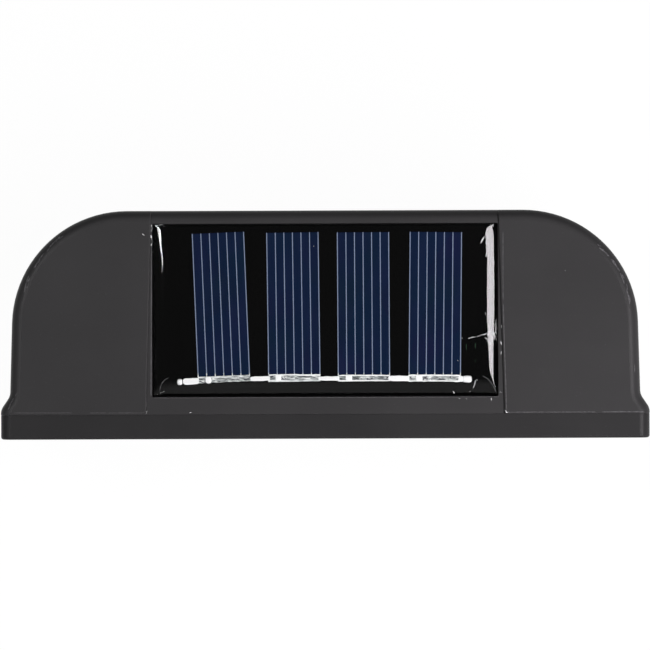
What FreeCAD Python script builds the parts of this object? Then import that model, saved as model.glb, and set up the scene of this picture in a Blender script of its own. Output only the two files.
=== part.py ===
"""Solar fence light: a hooded, D-shaped wall light with its solar panel on top.

Millimetres. +Z is up. The wall is the plane y = 0 and the light stands out from it
towards -Y. The origin is the centre of the back plate's wall face.
"""
import FreeCAD, Part
import math
import os

V = FreeCAD.Vector
X_AXIS = V(1, 0, 0)
Y_AXIS = V(0, 1, 0)
Z_AXIS = V(0, 0, 1)

# ---------------------------------------------------------------- driving sizes
# Outer form
LENGTH = 120.0            # back plate and hood flange, end to end
DEPTH = 42.2              # wall to the front of the hood
PLATE_HEIGHT = 45.3       # back plate, bottom to top
PLATE_THICK = 4.5
HOOD_DROP = 3.0           # hood's lower edge below the middle of the plate
WALL = 2.0                # hood wall
DRAFT = 1.6               # degrees that the sides open towards the wall

# Back plate
PLATE_CORNER = 2.0
PLATE_EDGE = 0.5
LIP_HEIGHT = 2.0          # locating lip on the plate's front
LIP_THICK = 1.2
LIP_CLEAR = 0.3
RIM_SIDE = 7.0            # hood and lens rim that meets the plate, at the sides
RIM_DEEP = 3.0
RIM_BOTTOM = 4.1          # lens rim at the bottom

# Hood
HOOD_CORNER = 21.3        # radius of the D outline's front corners
FLARE_OUT = 2.1           # flange beyond the body, each side
FLARE_ANGLE = 34.0
FLARE_IN_R = 2.6
FLARE_OUT_R = 2.4
FLARE_LAND = 0.25
TOP_EDGE = 2.0            # rounding of the top edge
LOBE_RISE = 0.4           # side lobes above the middle channel
LOBE_EDGE = 0.2
SEAM_EDGE = 0.15          # rounding of the channel's edge at the plate
CHANNEL_MARGIN = 0.15     # channel's side beyond the panel recess, at the recess's front
FRONT_STRIP = 2.44        # top face in front of the panel recess
REAR_STRIP = 3.26         # top face behind the panel recess
RECESS_LENGTH = 63.9
RECESS_DEPTH = 3.0
RECESS_CORNER = 0.35
RECESS_EDGE = 0.1
RECESS_FLOOR = 1.6
LEAD_SLOT_X = 22.0        # slot for the panel's leads
LEAD_SLOT_FROM_CIRCUIT = 1.5
LEAD_SLOT_HALF = 3.0
LEAD_SLOT_WIDTH = 3.2
LEAD_SPREAD = 1.1

# Solar panel, on the recess floor
PAD_THICK = 0.3
PAD_INSET = 2.5
BOARD_CLEAR = 0.2
BOARD_THICK = 1.2
BOARD_CORNER = 0.5
CELL_WIDTH = 9.65
CELL_LENGTH = 27.55
CELL_THICK = 0.2
CELL_REAR_GAP = 2.6       # board edge to the cells' busbar edge
CELL_CENTRES = (18.69, 5.69, -7.17, -20.24)  # X of each busbar's middle
CELL_TILTS = (2.2, 0.6, 0.2, -0.65)          # degrees, as the cells were laid by hand
FINGERS = 7
FINGER_WIDTH = 0.16
PRINT_THICK = 0.03
BUSBAR_WIDTH = 1.1
RIBBON_WIDTH = 1.1
RIBBON_GAP = 0.15
RIBBON_LEAD = 2.6
RIBBON_TAIL = 1.9
SOLDER_HIGH = 0.12
SOLDER_LONG = 1.1
SOLDER_PLACE = 1.9        # solder joint from each cell's +X edge
EPOXY_INSET = 0.1
EPOXY_THICK = 1.25
EPOXY_CORNER = 1.6
EPOXY_TOP_CORNER = 2.4
EPOXY_SLOPE_LONG = 2.7
EPOXY_SLOPE_DEEP = 0.8
EPOXY_BLEND_R = 5.0
EPOXY_CLEAR = 0.1
CELL_TILT_ROOM = 0.4      # a tilted cell's corners past its straight outline

# Lens
LENS_BOTTOM_GAP = 1.15    # plate's lower edge below the lens
LENS_FLANGE_GAP = 1.2     # plate's end beyond the lens flange
LENS_SET_IN = 1.0
LENS_TAPER = 2.5
LENS_WALL = 2.4
LENS_EDGE = 2.5
LAP_HEIGHT = 3.0
LAP_THICK = 1.5
LAP_CLEAR = 0.3
RIB_PITCH = 2.4
RIB_PROUD = 0.35
RIB_HALF = 0.85

# Screws and bosses
BOSS_R = 3.0
BOSS_SIDE_GAP = 0.5       # boss to the plate's locating lip
BOSS_Z = 12.5
HOOD_BOSS_LONG = 13.5
LENS_BOSS_LONG = 11.5
SCREW_R = 1.05
SCREW_FIT = 0.05
SCREW_LONG = 10.0
SCREW_HOLE_R = 1.5
HEAD_R = 2.5
HEAD_HIGH = 1.6
HEAD_HOLE_R = 3.0
HEAD_SINK = 2.3
CROSS_WIDTH = 0.7
CROSS_HALF = 1.5
CROSS_DEEP = 0.9
WEB = 1.6

# Seal between plate and front
SEAL_WIDTH = 1.5
SEAL_DEEP = 1.0
SEAL_CLEAR = 0.05
SEAL_FROM_RIM = 2.6       # seal's centre line from the rim's inner edge
SEAL_CORNER = 3.0

# Keyholes
KEYHOLE_SPACING = 76.0
KEYHOLE_R = 4.25
KEYHOLE_SLOT_R = 2.1
KEYHOLE_RISE = 5.3
KEYHOLE_LIP = 2.0
POCKET_MARGIN = 0.75      # pocket beyond the round hole
CUP_WALL = 1.0
CUP_DEEP = 5.0
CUP_ABOVE_TRAY = 0.375

# Slide switch
SWITCH_Z = 9.0
SWITCH_TRAVEL = 2.0
SWITCH_WELL_HALF_X = 8.0
SWITCH_WELL_HALF_Z = 4.5
SWITCH_WELL_DEEP = 1.6
SWITCH_WEB = 1.4
KNOB_HALF_X = 2.0
KNOB_HALF_Z = 1.4
KNOB_SINK = 0.4           # knob's end below the wall face
KNOB_RIDGE = 0.35
SLIDE_CLEAR = 0.25
CARRIAGE_HALF_X = 3.5
CARRIAGE_HALF_Z = 2.3
CARRIAGE_THICK = 1.3
CARRIAGE_CLEAR = 0.1
FRAME_METAL = 0.4
FRAME_HALF_X = 9.8
FRAME_BODY_HALF_X = 6.2
FRAME_HALF_Z = 3.3
FRAME_SIDE = 3.4
STAKE_X = 8.2
STAKE_R = 0.8
STAKE_CLEAR = 0.1
STAKE_HEAD_R = 1.3
STAKE_HEAD_HIGH = 0.6
SWITCH_BASE_DEEP = 3.0
TERMINAL_PITCH = 3.0
TERMINAL_LONG = 2.6
TERMINAL_HALF_X = 0.4
TERMINAL_HALF_Z = 0.2
MARK_DEEP = 0.25
MARK_HALF = 0.9
MARK_LINE = 0.4
MARK_X = 5.6

# Inside
TRAY_THICK = 1.5
TRAY_CLEAR = 0.3
TRAY_BOSS_X = 44.0
TRAY_BOSS_Y = -22.0
TRAY_SCREW_LONG = 8.0
BATTERY_R = 7.1           # AA cell
BATTERY_LONG = 49.2
BATTERY_EDGE = 0.6
BUTTON_R = 2.7
BUTTON_HIGH = 1.0
BATTERY_GAP = 0.3         # cell to its cradle
BATTERY_FROM_WALL = 2.6
CRADLE_ARM = 2.0          # cradle's arms above the cell's middle
CRADLE_X = 15.0
CRADLE_THICK = 3.0
CRADLE_WALL = 1.2
TAB_WIDTH = 4.0
TAB_THICK = 0.2
TAB_REACH = 5.0
CIRCUIT_LENGTH = 76.0
CIRCUIT_WIDTH = 11.0
CIRCUIT_THICK = 1.2
CIRCUIT_FROM_CUP = 1.0
CIRCUIT_PIN_X = 35.0
PIN_R = 1.0
PIN_CLEAR = 0.15
PIN_HEAD_R = 1.7
PIN_HEAD_HIGH = 0.8
LED_COUNT = 4
LED_PITCH = 18.0
LED_HALF_X = 1.75
LED_HALF_Y = 1.4
LED_HIGH = 0.8
LED_WINDOW = 0.6
INDUCTOR_X = -12.0
INDUCTOR_R = 3.0
INDUCTOR_HIGH = 6.5
CAPACITOR_X = 13.0
CAPACITOR_FROM_MIDDLE = 2.0
CAPACITOR_R = 2.0
CAPACITOR_HIGH = 6.0
CAN_EDGE = 0.3
CHIP_X = 7.0
CHIP_FROM_MIDDLE = 2.6
CHIP_LONG = 4.0
CHIP_WIDE = 1.6
CHIP_HIGH = 3.2
CHIP_LIFT = 2.0
CHIP_LEADS = 4
CHIP_LEAD_PITCH = 1.0
CHIP_LEAD_HALF = 0.2
RESISTOR_PLACES = (-20.0, -5.5, 9.5)
RESISTOR_FROM_MIDDLE = 1.8
RESISTOR_LONG = 2.0
RESISTOR_WIDE = 1.2
RESISTOR_HIGH = 0.55
WIRE_R = 0.55
ARC_SHARE = 0.45          # of a wire's shorter run, taken by the arc at each end

# ---------------------------------------------------------------- derived places
HALF = LENGTH / 2
PLATE_TOP = PLATE_HEIGHT / 2
PLATE_FRONT = -PLATE_THICK
LOBE_TOP = PLATE_TOP + LOBE_RISE
HOOD_BOTTOM = -HOOD_DROP
ARC_X = HALF - FLARE_OUT - HOOD_CORNER
ARC_Y = -DEPTH + HOOD_CORNER
SLOPE = math.tan(math.radians(DRAFT))
RECESS_FRONT = -DEPTH + FRONT_STRIP
RECESS_REAR = PLATE_FRONT - REAR_STRIP
RECESS_Z = PLATE_TOP - RECESS_DEPTH
CEILING = RECESS_Z - RECESS_FLOOR
LOBE_CEILING = LOBE_TOP - WALL
RIM_HALF = HALF - RIM_SIDE
RIM_FRONT = PLATE_FRONT - RIM_DEEP
LENS_BOTTOM = -PLATE_TOP + LENS_BOTTOM_GAP
RIM_LOW = LENS_BOTTOM + RIM_BOTTOM
BOSS_X = RIM_HALF - LIP_CLEAR - LIP_THICK - BOSS_SIDE_GAP - BOSS_R
TRAY_Z = HOOD_BOTTOM + LAP_HEIGHT
TRAY_TOP = TRAY_Z + TRAY_THICK
BOARD_Z = RECESS_Z + PAD_THICK
BOARD_TOP = BOARD_Z + BOARD_THICK
BOARD_REAR = RECESS_REAR - BOARD_CLEAR
BOARD_FRONT = RECESS_FRONT + BOARD_CLEAR
BOARD_HALF = RECESS_LENGTH / 2 - BOARD_CLEAR
BUSBAR_Y = BOARD_REAR - CELL_REAR_GAP
CELL_TOP = BOARD_TOP + CELL_THICK
PRINT_TOP = CELL_TOP + PRINT_THICK
CHANNEL_HALF = RECESS_LENGTH / 2 + CHANNEL_MARGIN
KEYHOLE_Z = TRAY_TOP + CUP_ABOVE_TRAY + CUP_WALL + POCKET_MARGIN / 2 + KEYHOLE_R
POCKET_HALF = KEYHOLE_R + POCKET_MARGIN
POCKET_LOW = KEYHOLE_Z - KEYHOLE_R - POCKET_MARGIN / 2
POCKET_HIGH = KEYHOLE_Z + KEYHOLE_RISE + KEYHOLE_SLOT_R + POCKET_MARGIN / 2
CUP_FRONT = PLATE_FRONT - CUP_DEEP
CIRCUIT_REAR = CUP_FRONT - CIRCUIT_FROM_CUP
CIRCUIT_FRONT = CIRCUIT_REAR - CIRCUIT_WIDTH
CIRCUIT_Y = (CIRCUIT_REAR + CIRCUIT_FRONT) / 2
CIRCUIT_Z = TRAY_TOP
CIRCUIT_TOP = CIRCUIT_Z + CIRCUIT_THICK
BATTERY_Y = -DEPTH + WALL + BATTERY_FROM_WALL + BATTERY_R
BATTERY_Z = TRAY_TOP + BATTERY_GAP + BATTERY_R
FRAME_FACE = -(SWITCH_WELL_DEEP + SWITCH_WEB)
CARRIAGE_FACE = FRAME_FACE - FRAME_METAL - CARRIAGE_CLEAR
SWITCH_BASE_FACE = CARRIAGE_FACE - CARRIAGE_THICK - CARRIAGE_CLEAR
SWITCH_REST = -SWITCH_TRAVEL / 2
LEAD_SLOT_Y = CIRCUIT_Y + LEAD_SLOT_FROM_CIRCUIT


# ---------------------------------------------------------------- shape helpers
def block(x0, x1, y0, y1, z0, z1):
    return Part.makeBox(x1 - x0, y1 - y0, z1 - z0, V(x0, y0, z0))


def rod_x(y, z, x0, x1, radius):
    return Part.makeCylinder(radius, x1 - x0, V(x0, y, z), X_AXIS)


def rod_y(x, z, y0, y1, radius):
    return Part.makeCylinder(radius, y1 - y0, V(x, y0, z), Y_AXIS)


def rod_z(x, y, z0, z1, radius):
    return Part.makeCylinder(radius, z1 - z0, V(x, y, z0), Z_AXIS)


def parallel_to(edge, axis):
    ends = edge.Vertexes
    if len(ends) != 2:
        return False
    run = ends[1].Point - ends[0].Point
    return run.cross(axis).Length < 1e-6 * max(run.Length, 1e-9)


def rounded_block(x0, x1, y0, y1, z0, z1, radius, axis):
    """A block whose four edges along axis are rounded."""
    body = block(x0, x1, y0, y1, z0, z1)
    return body.makeFillet(radius, [e for e in body.Edges if parallel_to(e, axis)])


def edges_where(shape, test):
    return [e for e in shape.Edges if all(test(v.Point) for v in e.Vertexes)]


def both_sides(shape):
    return [shape, shape.mirror(V(0, 0, 0), X_AXIS)]


def closed_face(half_path):
    """Face of a path on the +X side and its mirror image, joined across x = 0."""
    right = Part.Wire(half_path)
    left = right.mirror(V(0, 0, 0), X_AXIS)
    first = half_path[0].firstVertex(True).Point
    last = half_path[-1].lastVertex(True).Point
    rear, front = [Part.makeLine(p, V(-p.x, p.y, p.z)) for p in (first, last)]
    return Part.Face(Part.Wire(right.Edges + [front] + left.Edges[::-1] + [rear]))


def arc_edge(cx, cy, z, radius, start, middle, end):
    """Arc through three directions, in degrees from +X, about (cx, cy)."""
    points = []
    for angle in (start, middle, end):
        a = math.radians(angle)
        points.append(V(cx + radius * math.cos(a), cy + radius * math.sin(a), z))
    return Part.Arc(*points).toShape()


def side_path(inset, rear, z):
    """Side, corner arc and half front of the D outline, on +X, moved in by inset."""
    radius = HOOD_CORNER - inset
    corner = arc_edge(ARC_X, ARC_Y, z, radius, -DRAFT, -45, -90)
    tangent = corner.firstVertex(True).Point
    rear_point = V(tangent.x + (rear - tangent.y) * SLOPE, rear, z)
    return [Part.makeLine(rear_point, tangent), corner]


def d_face(inset, rear, z):
    return closed_face(side_path(inset, rear, z))


def d_prism(inset, rear, z0, z1):
    return d_face(inset, rear, z0).extrude(V(0, 0, z1 - z0))


def flange_path(z):
    """The hood's outline on +X: land, outer arc, slant, inner arc, side, corner."""
    out_x = HALF - FLARE_OUT_R
    out_y = PLATE_FRONT - FLARE_LAND
    turn = math.radians(FLARE_ANGLE)
    lean = math.radians(DRAFT)
    outer = arc_edge(out_x, out_y, z, FLARE_OUT_R, 0, -FLARE_ANGLE / 2, -FLARE_ANGLE)
    slant_end = outer.lastVertex(True).Point
    normal = V(math.cos(lean), -math.sin(lean), 0)
    side_line = normal.dot(V(ARC_X, ARC_Y, 0)) + HOOD_CORNER
    bulge = FLARE_IN_R * (1 - math.cos(turn - lean))
    slant = (normal.dot(slant_end) - side_line - bulge) / math.sin(turn - lean)
    slant_start = slant_end - V(math.sin(turn), math.cos(turn), 0) * slant
    centre = slant_start + V(math.cos(turn), -math.sin(turn), 0) * FLARE_IN_R
    inner = arc_edge(
        centre.x, centre.y, z, FLARE_IN_R,
        180 - FLARE_ANGLE, 180 - (FLARE_ANGLE + DRAFT) / 2, 180 - DRAFT,
    )
    body = side_path(0, inner.lastVertex(True).Point.y, z)
    land = Part.makeLine(V(HALF, PLATE_FRONT, z), outer.firstVertex(True).Point)
    return [land, outer, Part.makeLine(slant_end, slant_start), inner] + body


def hood_solid(top, seam):
    """Hood's full outline up to top, with its top edge and its plate edge rounded."""
    face = closed_face(flange_path(HOOD_BOTTOM))
    body = face.extrude(V(0, 0, top - HOOD_BOTTOM))
    at_top = edges_where(body, lambda p: abs(p.z - top) < 1e-6)
    outer = [e for e in at_top if any(v.Y < PLATE_FRONT - 1e-6 for v in e.Vertexes)]
    body = body.makeFillet(TOP_EDGE, outer)
    rear = edges_where(body, lambda p: abs(p.y - PLATE_FRONT) < 1e-6)
    rear = [e for e in rear if e.BoundBox.ZMax > HOOD_BOTTOM + 1e-6]
    return body.makeFillet(seam, rear)


def channel_x(y):
    """Half width of the middle channel at y."""
    return CHANNEL_HALF + (y - RECESS_FRONT) * SLOPE


def lobe_region():
    front, rear = -DEPTH - 1, 1
    low, high = PLATE_TOP - TOP_EDGE - 1, LOBE_TOP + 1
    points = [
        V(channel_x(front), front, low), V(LENGTH, front, low),
        V(LENGTH, rear, low), V(channel_x(rear), rear, low),
    ]
    return Part.Face(Part.makePolygon(points + points[:1])).extrude(V(0, 0, high - low))


def lobe():
    body = hood_solid(LOBE_TOP, LOBE_EDGE).common(lobe_region())

    def on_channel_side(p):
        return abs(p.x - channel_x(p.y)) < 1e-3

    inner = edges_where(body, on_channel_side)
    inner = [e for e in inner if e.BoundBox.YLength > 0.5]
    inner = [e for e in inner if e.BoundBox.ZMax > PLATE_TOP - TOP_EDGE + 0.01]
    return body.makeFillet(LOBE_EDGE, inner)


# ---------------------------------------------------------------- hood
def boss_hole(x, z):
    depth = SCREW_LONG + 1
    return rod_y(x, z, PLATE_FRONT - depth, PLATE_FRONT + 1, SCREW_R + SCREW_FIT)


def hood_boss():
    rear = PLATE_FRONT
    front = rear - HOOD_BOSS_LONG
    post = rod_y(BOSS_X, BOSS_Z, front, rear, BOSS_R)
    up = block(BOSS_X - WEB / 2, BOSS_X + WEB / 2, front, RIM_FRONT, BOSS_Z, LOBE_CEILING + 0.5)
    out = block(BOSS_X, HALF - 2 * FLARE_OUT, front, RIM_FRONT, BOSS_Z - WEB / 2, BOSS_Z + WEB / 2)
    return post.fuse([up, out]).cut(boss_hole(BOSS_X, BOSS_Z))


def tray_boss():
    post = rod_z(TRAY_BOSS_X, TRAY_BOSS_Y, TRAY_TOP, LOBE_CEILING + 0.5, BOSS_R)
    hole = rod_z(
        TRAY_BOSS_X, TRAY_BOSS_Y, TRAY_TOP - 1, TRAY_TOP + TRAY_SCREW_LONG, SCREW_R + SCREW_FIT
    )
    return post.cut(hole)


def hood_hollow():
    low = d_prism(WALL, RIM_FRONT, HOOD_BOTTOM - 1, CEILING)
    high = d_prism(WALL, RIM_FRONT, CEILING - 1, LOBE_CEILING)
    middle_half = channel_x(RIM_FRONT) + WALL
    middle = block(-middle_half, middle_half, -DEPTH, 0, CEILING, LOBE_CEILING + 1)
    mouth = block(-RIM_HALF, RIM_HALF, RIM_FRONT - 1, 0, HOOD_BOTTOM - 1, CEILING)
    return low.fuse([high.cut(middle), mouth])


def lead_slot(z0, z1):
    half = LEAD_SLOT_WIDTH / 2
    return rounded_block(
        LEAD_SLOT_X - LEAD_SLOT_HALF, LEAD_SLOT_X + LEAD_SLOT_HALF,
        LEAD_SLOT_Y - half, LEAD_SLOT_Y + half, z0, z1, half * 0.95, Z_AXIS,
    )


def top_housing():
    hood = hood_solid(PLATE_TOP, SEAM_EDGE).fuse(both_sides(lobe()))
    hood = hood.cut(hood_hollow())
    half = RECESS_LENGTH / 2
    recess = rounded_block(
        -half, half, RECESS_FRONT, RECESS_REAR, RECESS_Z, LOBE_TOP + 1, RECESS_CORNER, Z_AXIS
    )
    hood = hood.cut([recess, lead_slot(CEILING - 1, RECESS_Z + 1)])

    def on_recess_edge(p):
        inside = RECESS_FRONT - 1e-6 < p.y < RECESS_REAR + 1e-6
        return inside and abs(p.z - PLATE_TOP) < 1e-6 and abs(p.x) < half + 1e-6

    hood = hood.makeFillet(RECESS_EDGE, edges_where(hood, on_recess_edge))
    bosses = both_sides(hood_boss()) + both_sides(tray_boss())
    return hood.fuse(bosses).removeSplitter()


# ---------------------------------------------------------------- solar panel
def panel_pad():
    pad = block(
        -BOARD_HALF + PAD_INSET, BOARD_HALF - PAD_INSET,
        BOARD_FRONT + PAD_INSET, BOARD_REAR - PAD_INSET, RECESS_Z, BOARD_Z,
    )
    return pad.cut(lead_slot(RECESS_Z - 1, BOARD_Z + 1))


def panel_board():
    return rounded_block(
        -BOARD_HALF, BOARD_HALF, BOARD_FRONT, BOARD_REAR, BOARD_Z, BOARD_TOP, BOARD_CORNER, Z_AXIS
    )


def on_cell(index, shape):
    """Place a shape drawn about a cell's busbar middle, running towards -Y."""
    shape.rotate(V(0, 0, 0), Z_AXIS, CELL_TILTS[index])
    shape.translate(V(CELL_CENTRES[index], BUSBAR_Y, 0))
    return shape


def solar_cell(index):
    half = CELL_WIDTH / 2
    return on_cell(index, block(-half, half, -CELL_LENGTH, 0, BOARD_TOP, CELL_TOP))


def cell_print(index):
    """Silver print on one cell: its busbar and the fingers that run from it."""
    half = CELL_WIDTH / 2
    busbar = block(-half, half, -BUSBAR_WIDTH, 0, CELL_TOP, PRINT_TOP)
    pieces = []
    pitch = (CELL_WIDTH - FINGER_WIDTH) / (FINGERS - 1)
    for number in range(FINGERS):
        x = -half + number * pitch
        pieces.append(
            block(x, x + FINGER_WIDTH, -CELL_LENGTH, -BUSBAR_WIDTH / 2, CELL_TOP, PRINT_TOP)
        )
    return on_cell(index, busbar.fuse(pieces).removeSplitter())


def ribbon_spans():
    """X ranges of the ribbon beside and between the cells, from +X to -X."""
    half = CELL_WIDTH / 2 + RIBBON_GAP
    edges = [CELL_CENTRES[0] + half + RIBBON_LEAD]
    for centre in CELL_CENTRES:
        edges += [centre + half, centre - half]
    edges.append(CELL_CENTRES[-1] - half - RIBBON_TAIL)
    return [(edges[i + 1], edges[i]) for i in range(0, len(edges), 2)]


def tab_ribbons():
    return [
        block(x0, x1, BUSBAR_Y - RIBBON_WIDTH, BUSBAR_Y, BOARD_TOP, CELL_TOP)
        for x0, x1 in ribbon_spans()
    ]


def solder_drop(x, y, z, half, high):
    """The cap of a ball: half wide each way and high tall."""
    ball = (high * high + half * half) / (2 * high)
    sphere = Part.makeSphere(ball, V(x, y, z + high - ball))
    return sphere.common(block(x - half, x + half, y - half, y + half, z, z + high))


def solder_joints():
    """Flat drops of solder on each busbar, and one past each end of the ribbon."""
    y = BUSBAR_Y - RIBBON_WIDTH / 2
    half = SOLDER_LONG / 2
    drops = []
    for centre in CELL_CENTRES:
        x = centre + CELL_WIDTH / 2 - SOLDER_PLACE
        drops.append(solder_drop(x, y, PRINT_TOP, half, SOLDER_HIGH))
    spans = ribbon_spans()
    for x in (spans[0][1] + half, spans[-1][0] - half):
        drops.append(solder_drop(x, y, BOARD_TOP, half, CELL_THICK + SOLDER_HIGH))
    return drops


def rounded_wire(x, y0, y1, z, radius):
    body = rounded_block(-x, x, y0, y1, z, z + 1, radius, Z_AXIS)
    return [f for f in body.Faces if f.BoundBox.ZMax < z + 1e-6][0].OuterWire


def panel_epoxy():
    """Clear dome on the board, with a hollow that the cells and ribbon fill."""
    x = BOARD_HALF - EPOXY_INSET
    y0, y1 = BOARD_FRONT + EPOXY_INSET, BOARD_REAR - EPOXY_INSET
    top = BOARD_TOP + EPOXY_THICK
    knee = top - EPOXY_SLOPE_DEEP
    slope = EPOXY_SLOPE_LONG
    skirt = rounded_block(-x, x, y0, y1, BOARD_TOP, knee, EPOXY_CORNER, Z_AXIS)
    outlines = [
        rounded_wire(x, y0, y1, knee, EPOXY_CORNER),
        rounded_wire(x - slope, y0 + slope, y1 - slope, top, EPOXY_TOP_CORNER),
    ]
    dome = skirt.fuse(Part.makeLoft(outlines, True, True)).removeSplitter()
    rim = edges_where(dome, lambda p: abs(p.z - top) < 1e-6)
    dome = dome.makeFillet(EPOXY_BLEND_R, rim)
    spans = ribbon_spans()
    reach = SOLDER_LONG + EPOXY_CLEAR
    hollow = block(
        spans[-1][0] - reach, spans[0][1] + reach,
        BUSBAR_Y - CELL_LENGTH - CELL_TILT_ROOM, BUSBAR_Y + CELL_TILT_ROOM,
        BOARD_TOP - 1, PRINT_TOP + SOLDER_HIGH + EPOXY_CLEAR,
    )
    return dome.cut(hollow)


# ---------------------------------------------------------------- lens
def tapered_d(inset, z0, z1, rear):
    """D shape between two heights that follows the lens's taper; inset is at the top."""
    wires = []
    for z in (z0, z1):
        down = (HOOD_BOTTOM - z) / (HOOD_BOTTOM - LENS_BOTTOM)
        wires.append(d_face(inset + LENS_TAPER * down, rear, z).OuterWire)
    return Part.makeLoft(wires, True, True)


def lens_outer(inset, edge):
    body = tapered_d(inset, LENS_BOTTOM, HOOD_BOTTOM, PLATE_FRONT)
    low = edges_where(body, lambda p: abs(p.z - LENS_BOTTOM) < 1e-6)
    low = [e for e in low if any(v.Y < PLATE_FRONT - 1e-6 for v in e.Vertexes)]
    return body.makeFillet(edge, low)


def rib_feet(z):
    """Points round the D outline of the lens at height z, one for each rib."""
    down = (HOOD_BOTTOM - z) / (HOOD_BOTTOM - LENS_BOTTOM)
    inset = LENS_SET_IN + RIB_HALF - RIB_PROUD + LENS_TAPER * down
    radius = HOOD_CORNER - inset
    points = []
    count = int(ARC_X / RIB_PITCH)
    for number in range(-count, count + 1):
        points.append(V(number * ARC_X / count, ARC_Y - radius, z))
    turns = int(HOOD_CORNER * math.pi / 2 / RIB_PITCH)
    for number in range(1, turns + 1):
        a = math.radians(90 - DRAFT) * number / turns
        x = ARC_X + radius * math.sin(a)
        y = ARC_Y - radius * math.cos(a)
        points += [V(x, y, z), V(-x, y, z)]
    sides = int((RIM_FRONT - RIB_PITCH - ARC_Y) / RIB_PITCH)
    for number in range(1, sides + 1):
        x = ARC_X + radius + number * RIB_PITCH * SLOPE
        y = ARC_Y + number * RIB_PITCH
        points += [V(x, y, z), V(-x, y, z)]
    return points


def lens_ribs():
    ribs = []
    for low, high in zip(rib_feet(LENS_BOTTOM - 1), rib_feet(HOOD_BOTTOM)):
        run = high - low
        ribs.append(Part.makeCylinder(RIB_HALF, run.Length, low, run))
    envelope = lens_outer(LENS_SET_IN - RIB_PROUD, LENS_EDGE)
    return [rib.common(envelope) for rib in ribs]


def lens_boss():
    rear = PLATE_FRONT
    front = rear - LENS_BOSS_LONG
    post = rod_y(BOSS_X, -BOSS_Z, front, rear, BOSS_R)
    side = HALF - FLARE_OUT - LENS_SET_IN - LENS_WALL
    out = block(BOSS_X, side, front, RIM_FRONT, -BOSS_Z - WEB / 2, -BOSS_Z + WEB / 2)
    return post.fuse(out).cut(boss_hole(BOSS_X, -BOSS_Z))


def diffuser_lens():
    body = lens_outer(LENS_SET_IN, LENS_EDGE).fuse(lens_ribs())
    half = HALF - LENS_FLANGE_GAP
    flange = block(-half, half, RIM_FRONT, PLATE_FRONT, LENS_BOTTOM, HOOD_BOTTOM)
    corners = [e for e in flange.Edges if parallel_to(e, Y_AXIS)]
    corners = [e for e in corners if e.BoundBox.ZMax < LENS_BOTTOM + 1e-6]
    body = body.fuse(flange.makeFillet(PLATE_CORNER, corners))
    hollow = tapered_d(
        LENS_SET_IN + LENS_WALL, LENS_BOTTOM + LENS_WALL, HOOD_BOTTOM + 1, RIM_FRONT
    )
    mouth = block(-RIM_HALF, RIM_HALF, RIM_FRONT - 1, 0, RIM_LOW, HOOD_BOTTOM + 1)
    body = body.cut([hollow, mouth])
    lap_inset = WALL + LAP_CLEAR
    lap_rear = RIM_FRONT - LAP_CLEAR
    lap = d_prism(lap_inset, lap_rear, HOOD_BOTTOM - 1, TRAY_Z)
    lap = lap.cut(d_prism(lap_inset + LAP_THICK, 0, HOOD_BOTTOM - 2, TRAY_Z + 1))
    return body.fuse([lap] + both_sides(lens_boss())).removeSplitter()


def lens_sealant():
    rear = RIM_FRONT - LAP_CLEAR
    z0 = HOOD_BOTTOM + LAP_HEIGHT / 5
    z1 = TRAY_Z - LAP_HEIGHT / 5
    bead = d_prism(WALL, rear, z0, z1)
    return bead.cut(d_prism(WALL + LAP_CLEAR, 0, z0 - 1, z1 + 1))


# ---------------------------------------------------------------- back plate
def keyhole_pocket(grow, y0, y1):
    """Room behind one keyhole, on +X, made larger by grow."""
    x = KEYHOLE_SPACING / 2
    return block(
        x - POCKET_HALF - grow, x + POCKET_HALF + grow, y0, y1,
        POCKET_LOW - grow, POCKET_HIGH + grow,
    )


def keyhole_opening():
    x = KEYHOLE_SPACING / 2
    z1 = KEYHOLE_Z + KEYHOLE_RISE
    y0, y1 = -KEYHOLE_LIP - 1, 1
    slot = block(x - KEYHOLE_SLOT_R, x + KEYHOLE_SLOT_R, y0, y1, KEYHOLE_Z, z1)
    return rod_y(x, KEYHOLE_Z, y0, y1, KEYHOLE_R).fuse(
        [slot, rod_y(x, z1, y0, y1, KEYHOLE_SLOT_R)]
    )


def screw_hole(z):
    shank = rod_y(BOSS_X, z, PLATE_FRONT - 1, 1, SCREW_HOLE_R)
    return shank.fuse(rod_y(BOSS_X, z, -HEAD_SINK, 1, HEAD_HOLE_R))


def seal_ring(width, y0, y1):
    """Rounded rectangular ring that follows the rim of the hood and the lens."""
    x = RIM_HALF + SEAL_FROM_RIM
    z0 = RIM_LOW - SEAL_FROM_RIM + width / 4
    z1 = CEILING + SEAL_FROM_RIM
    half = width / 2
    outer = rounded_block(
        -x - half, x + half, y0, y1, z0 - half, z1 + half, SEAL_CORNER + half, Y_AXIS
    )
    inner = rounded_block(
        -x + half, x - half, y0 - 1, y1 + 1, z0 + half, z1 - half, SEAL_CORNER - half, Y_AXIS
    )
    return outer.cut(inner)


def switch_well():
    x, z = SWITCH_WELL_HALF_X, SWITCH_WELL_HALF_Z
    return rounded_block(
        -x, x, -SWITCH_WELL_DEEP, 1, SWITCH_Z - z, SWITCH_Z + z, PLATE_CORNER, Y_AXIS
    )


def knob_slot(y0, y1):
    x = KNOB_HALF_X + SWITCH_TRAVEL / 2 + SLIDE_CLEAR
    z = KNOB_HALF_Z + SLIDE_CLEAR
    return block(-x, x, y0, y1, SWITCH_Z - z, SWITCH_Z + z)


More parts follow.
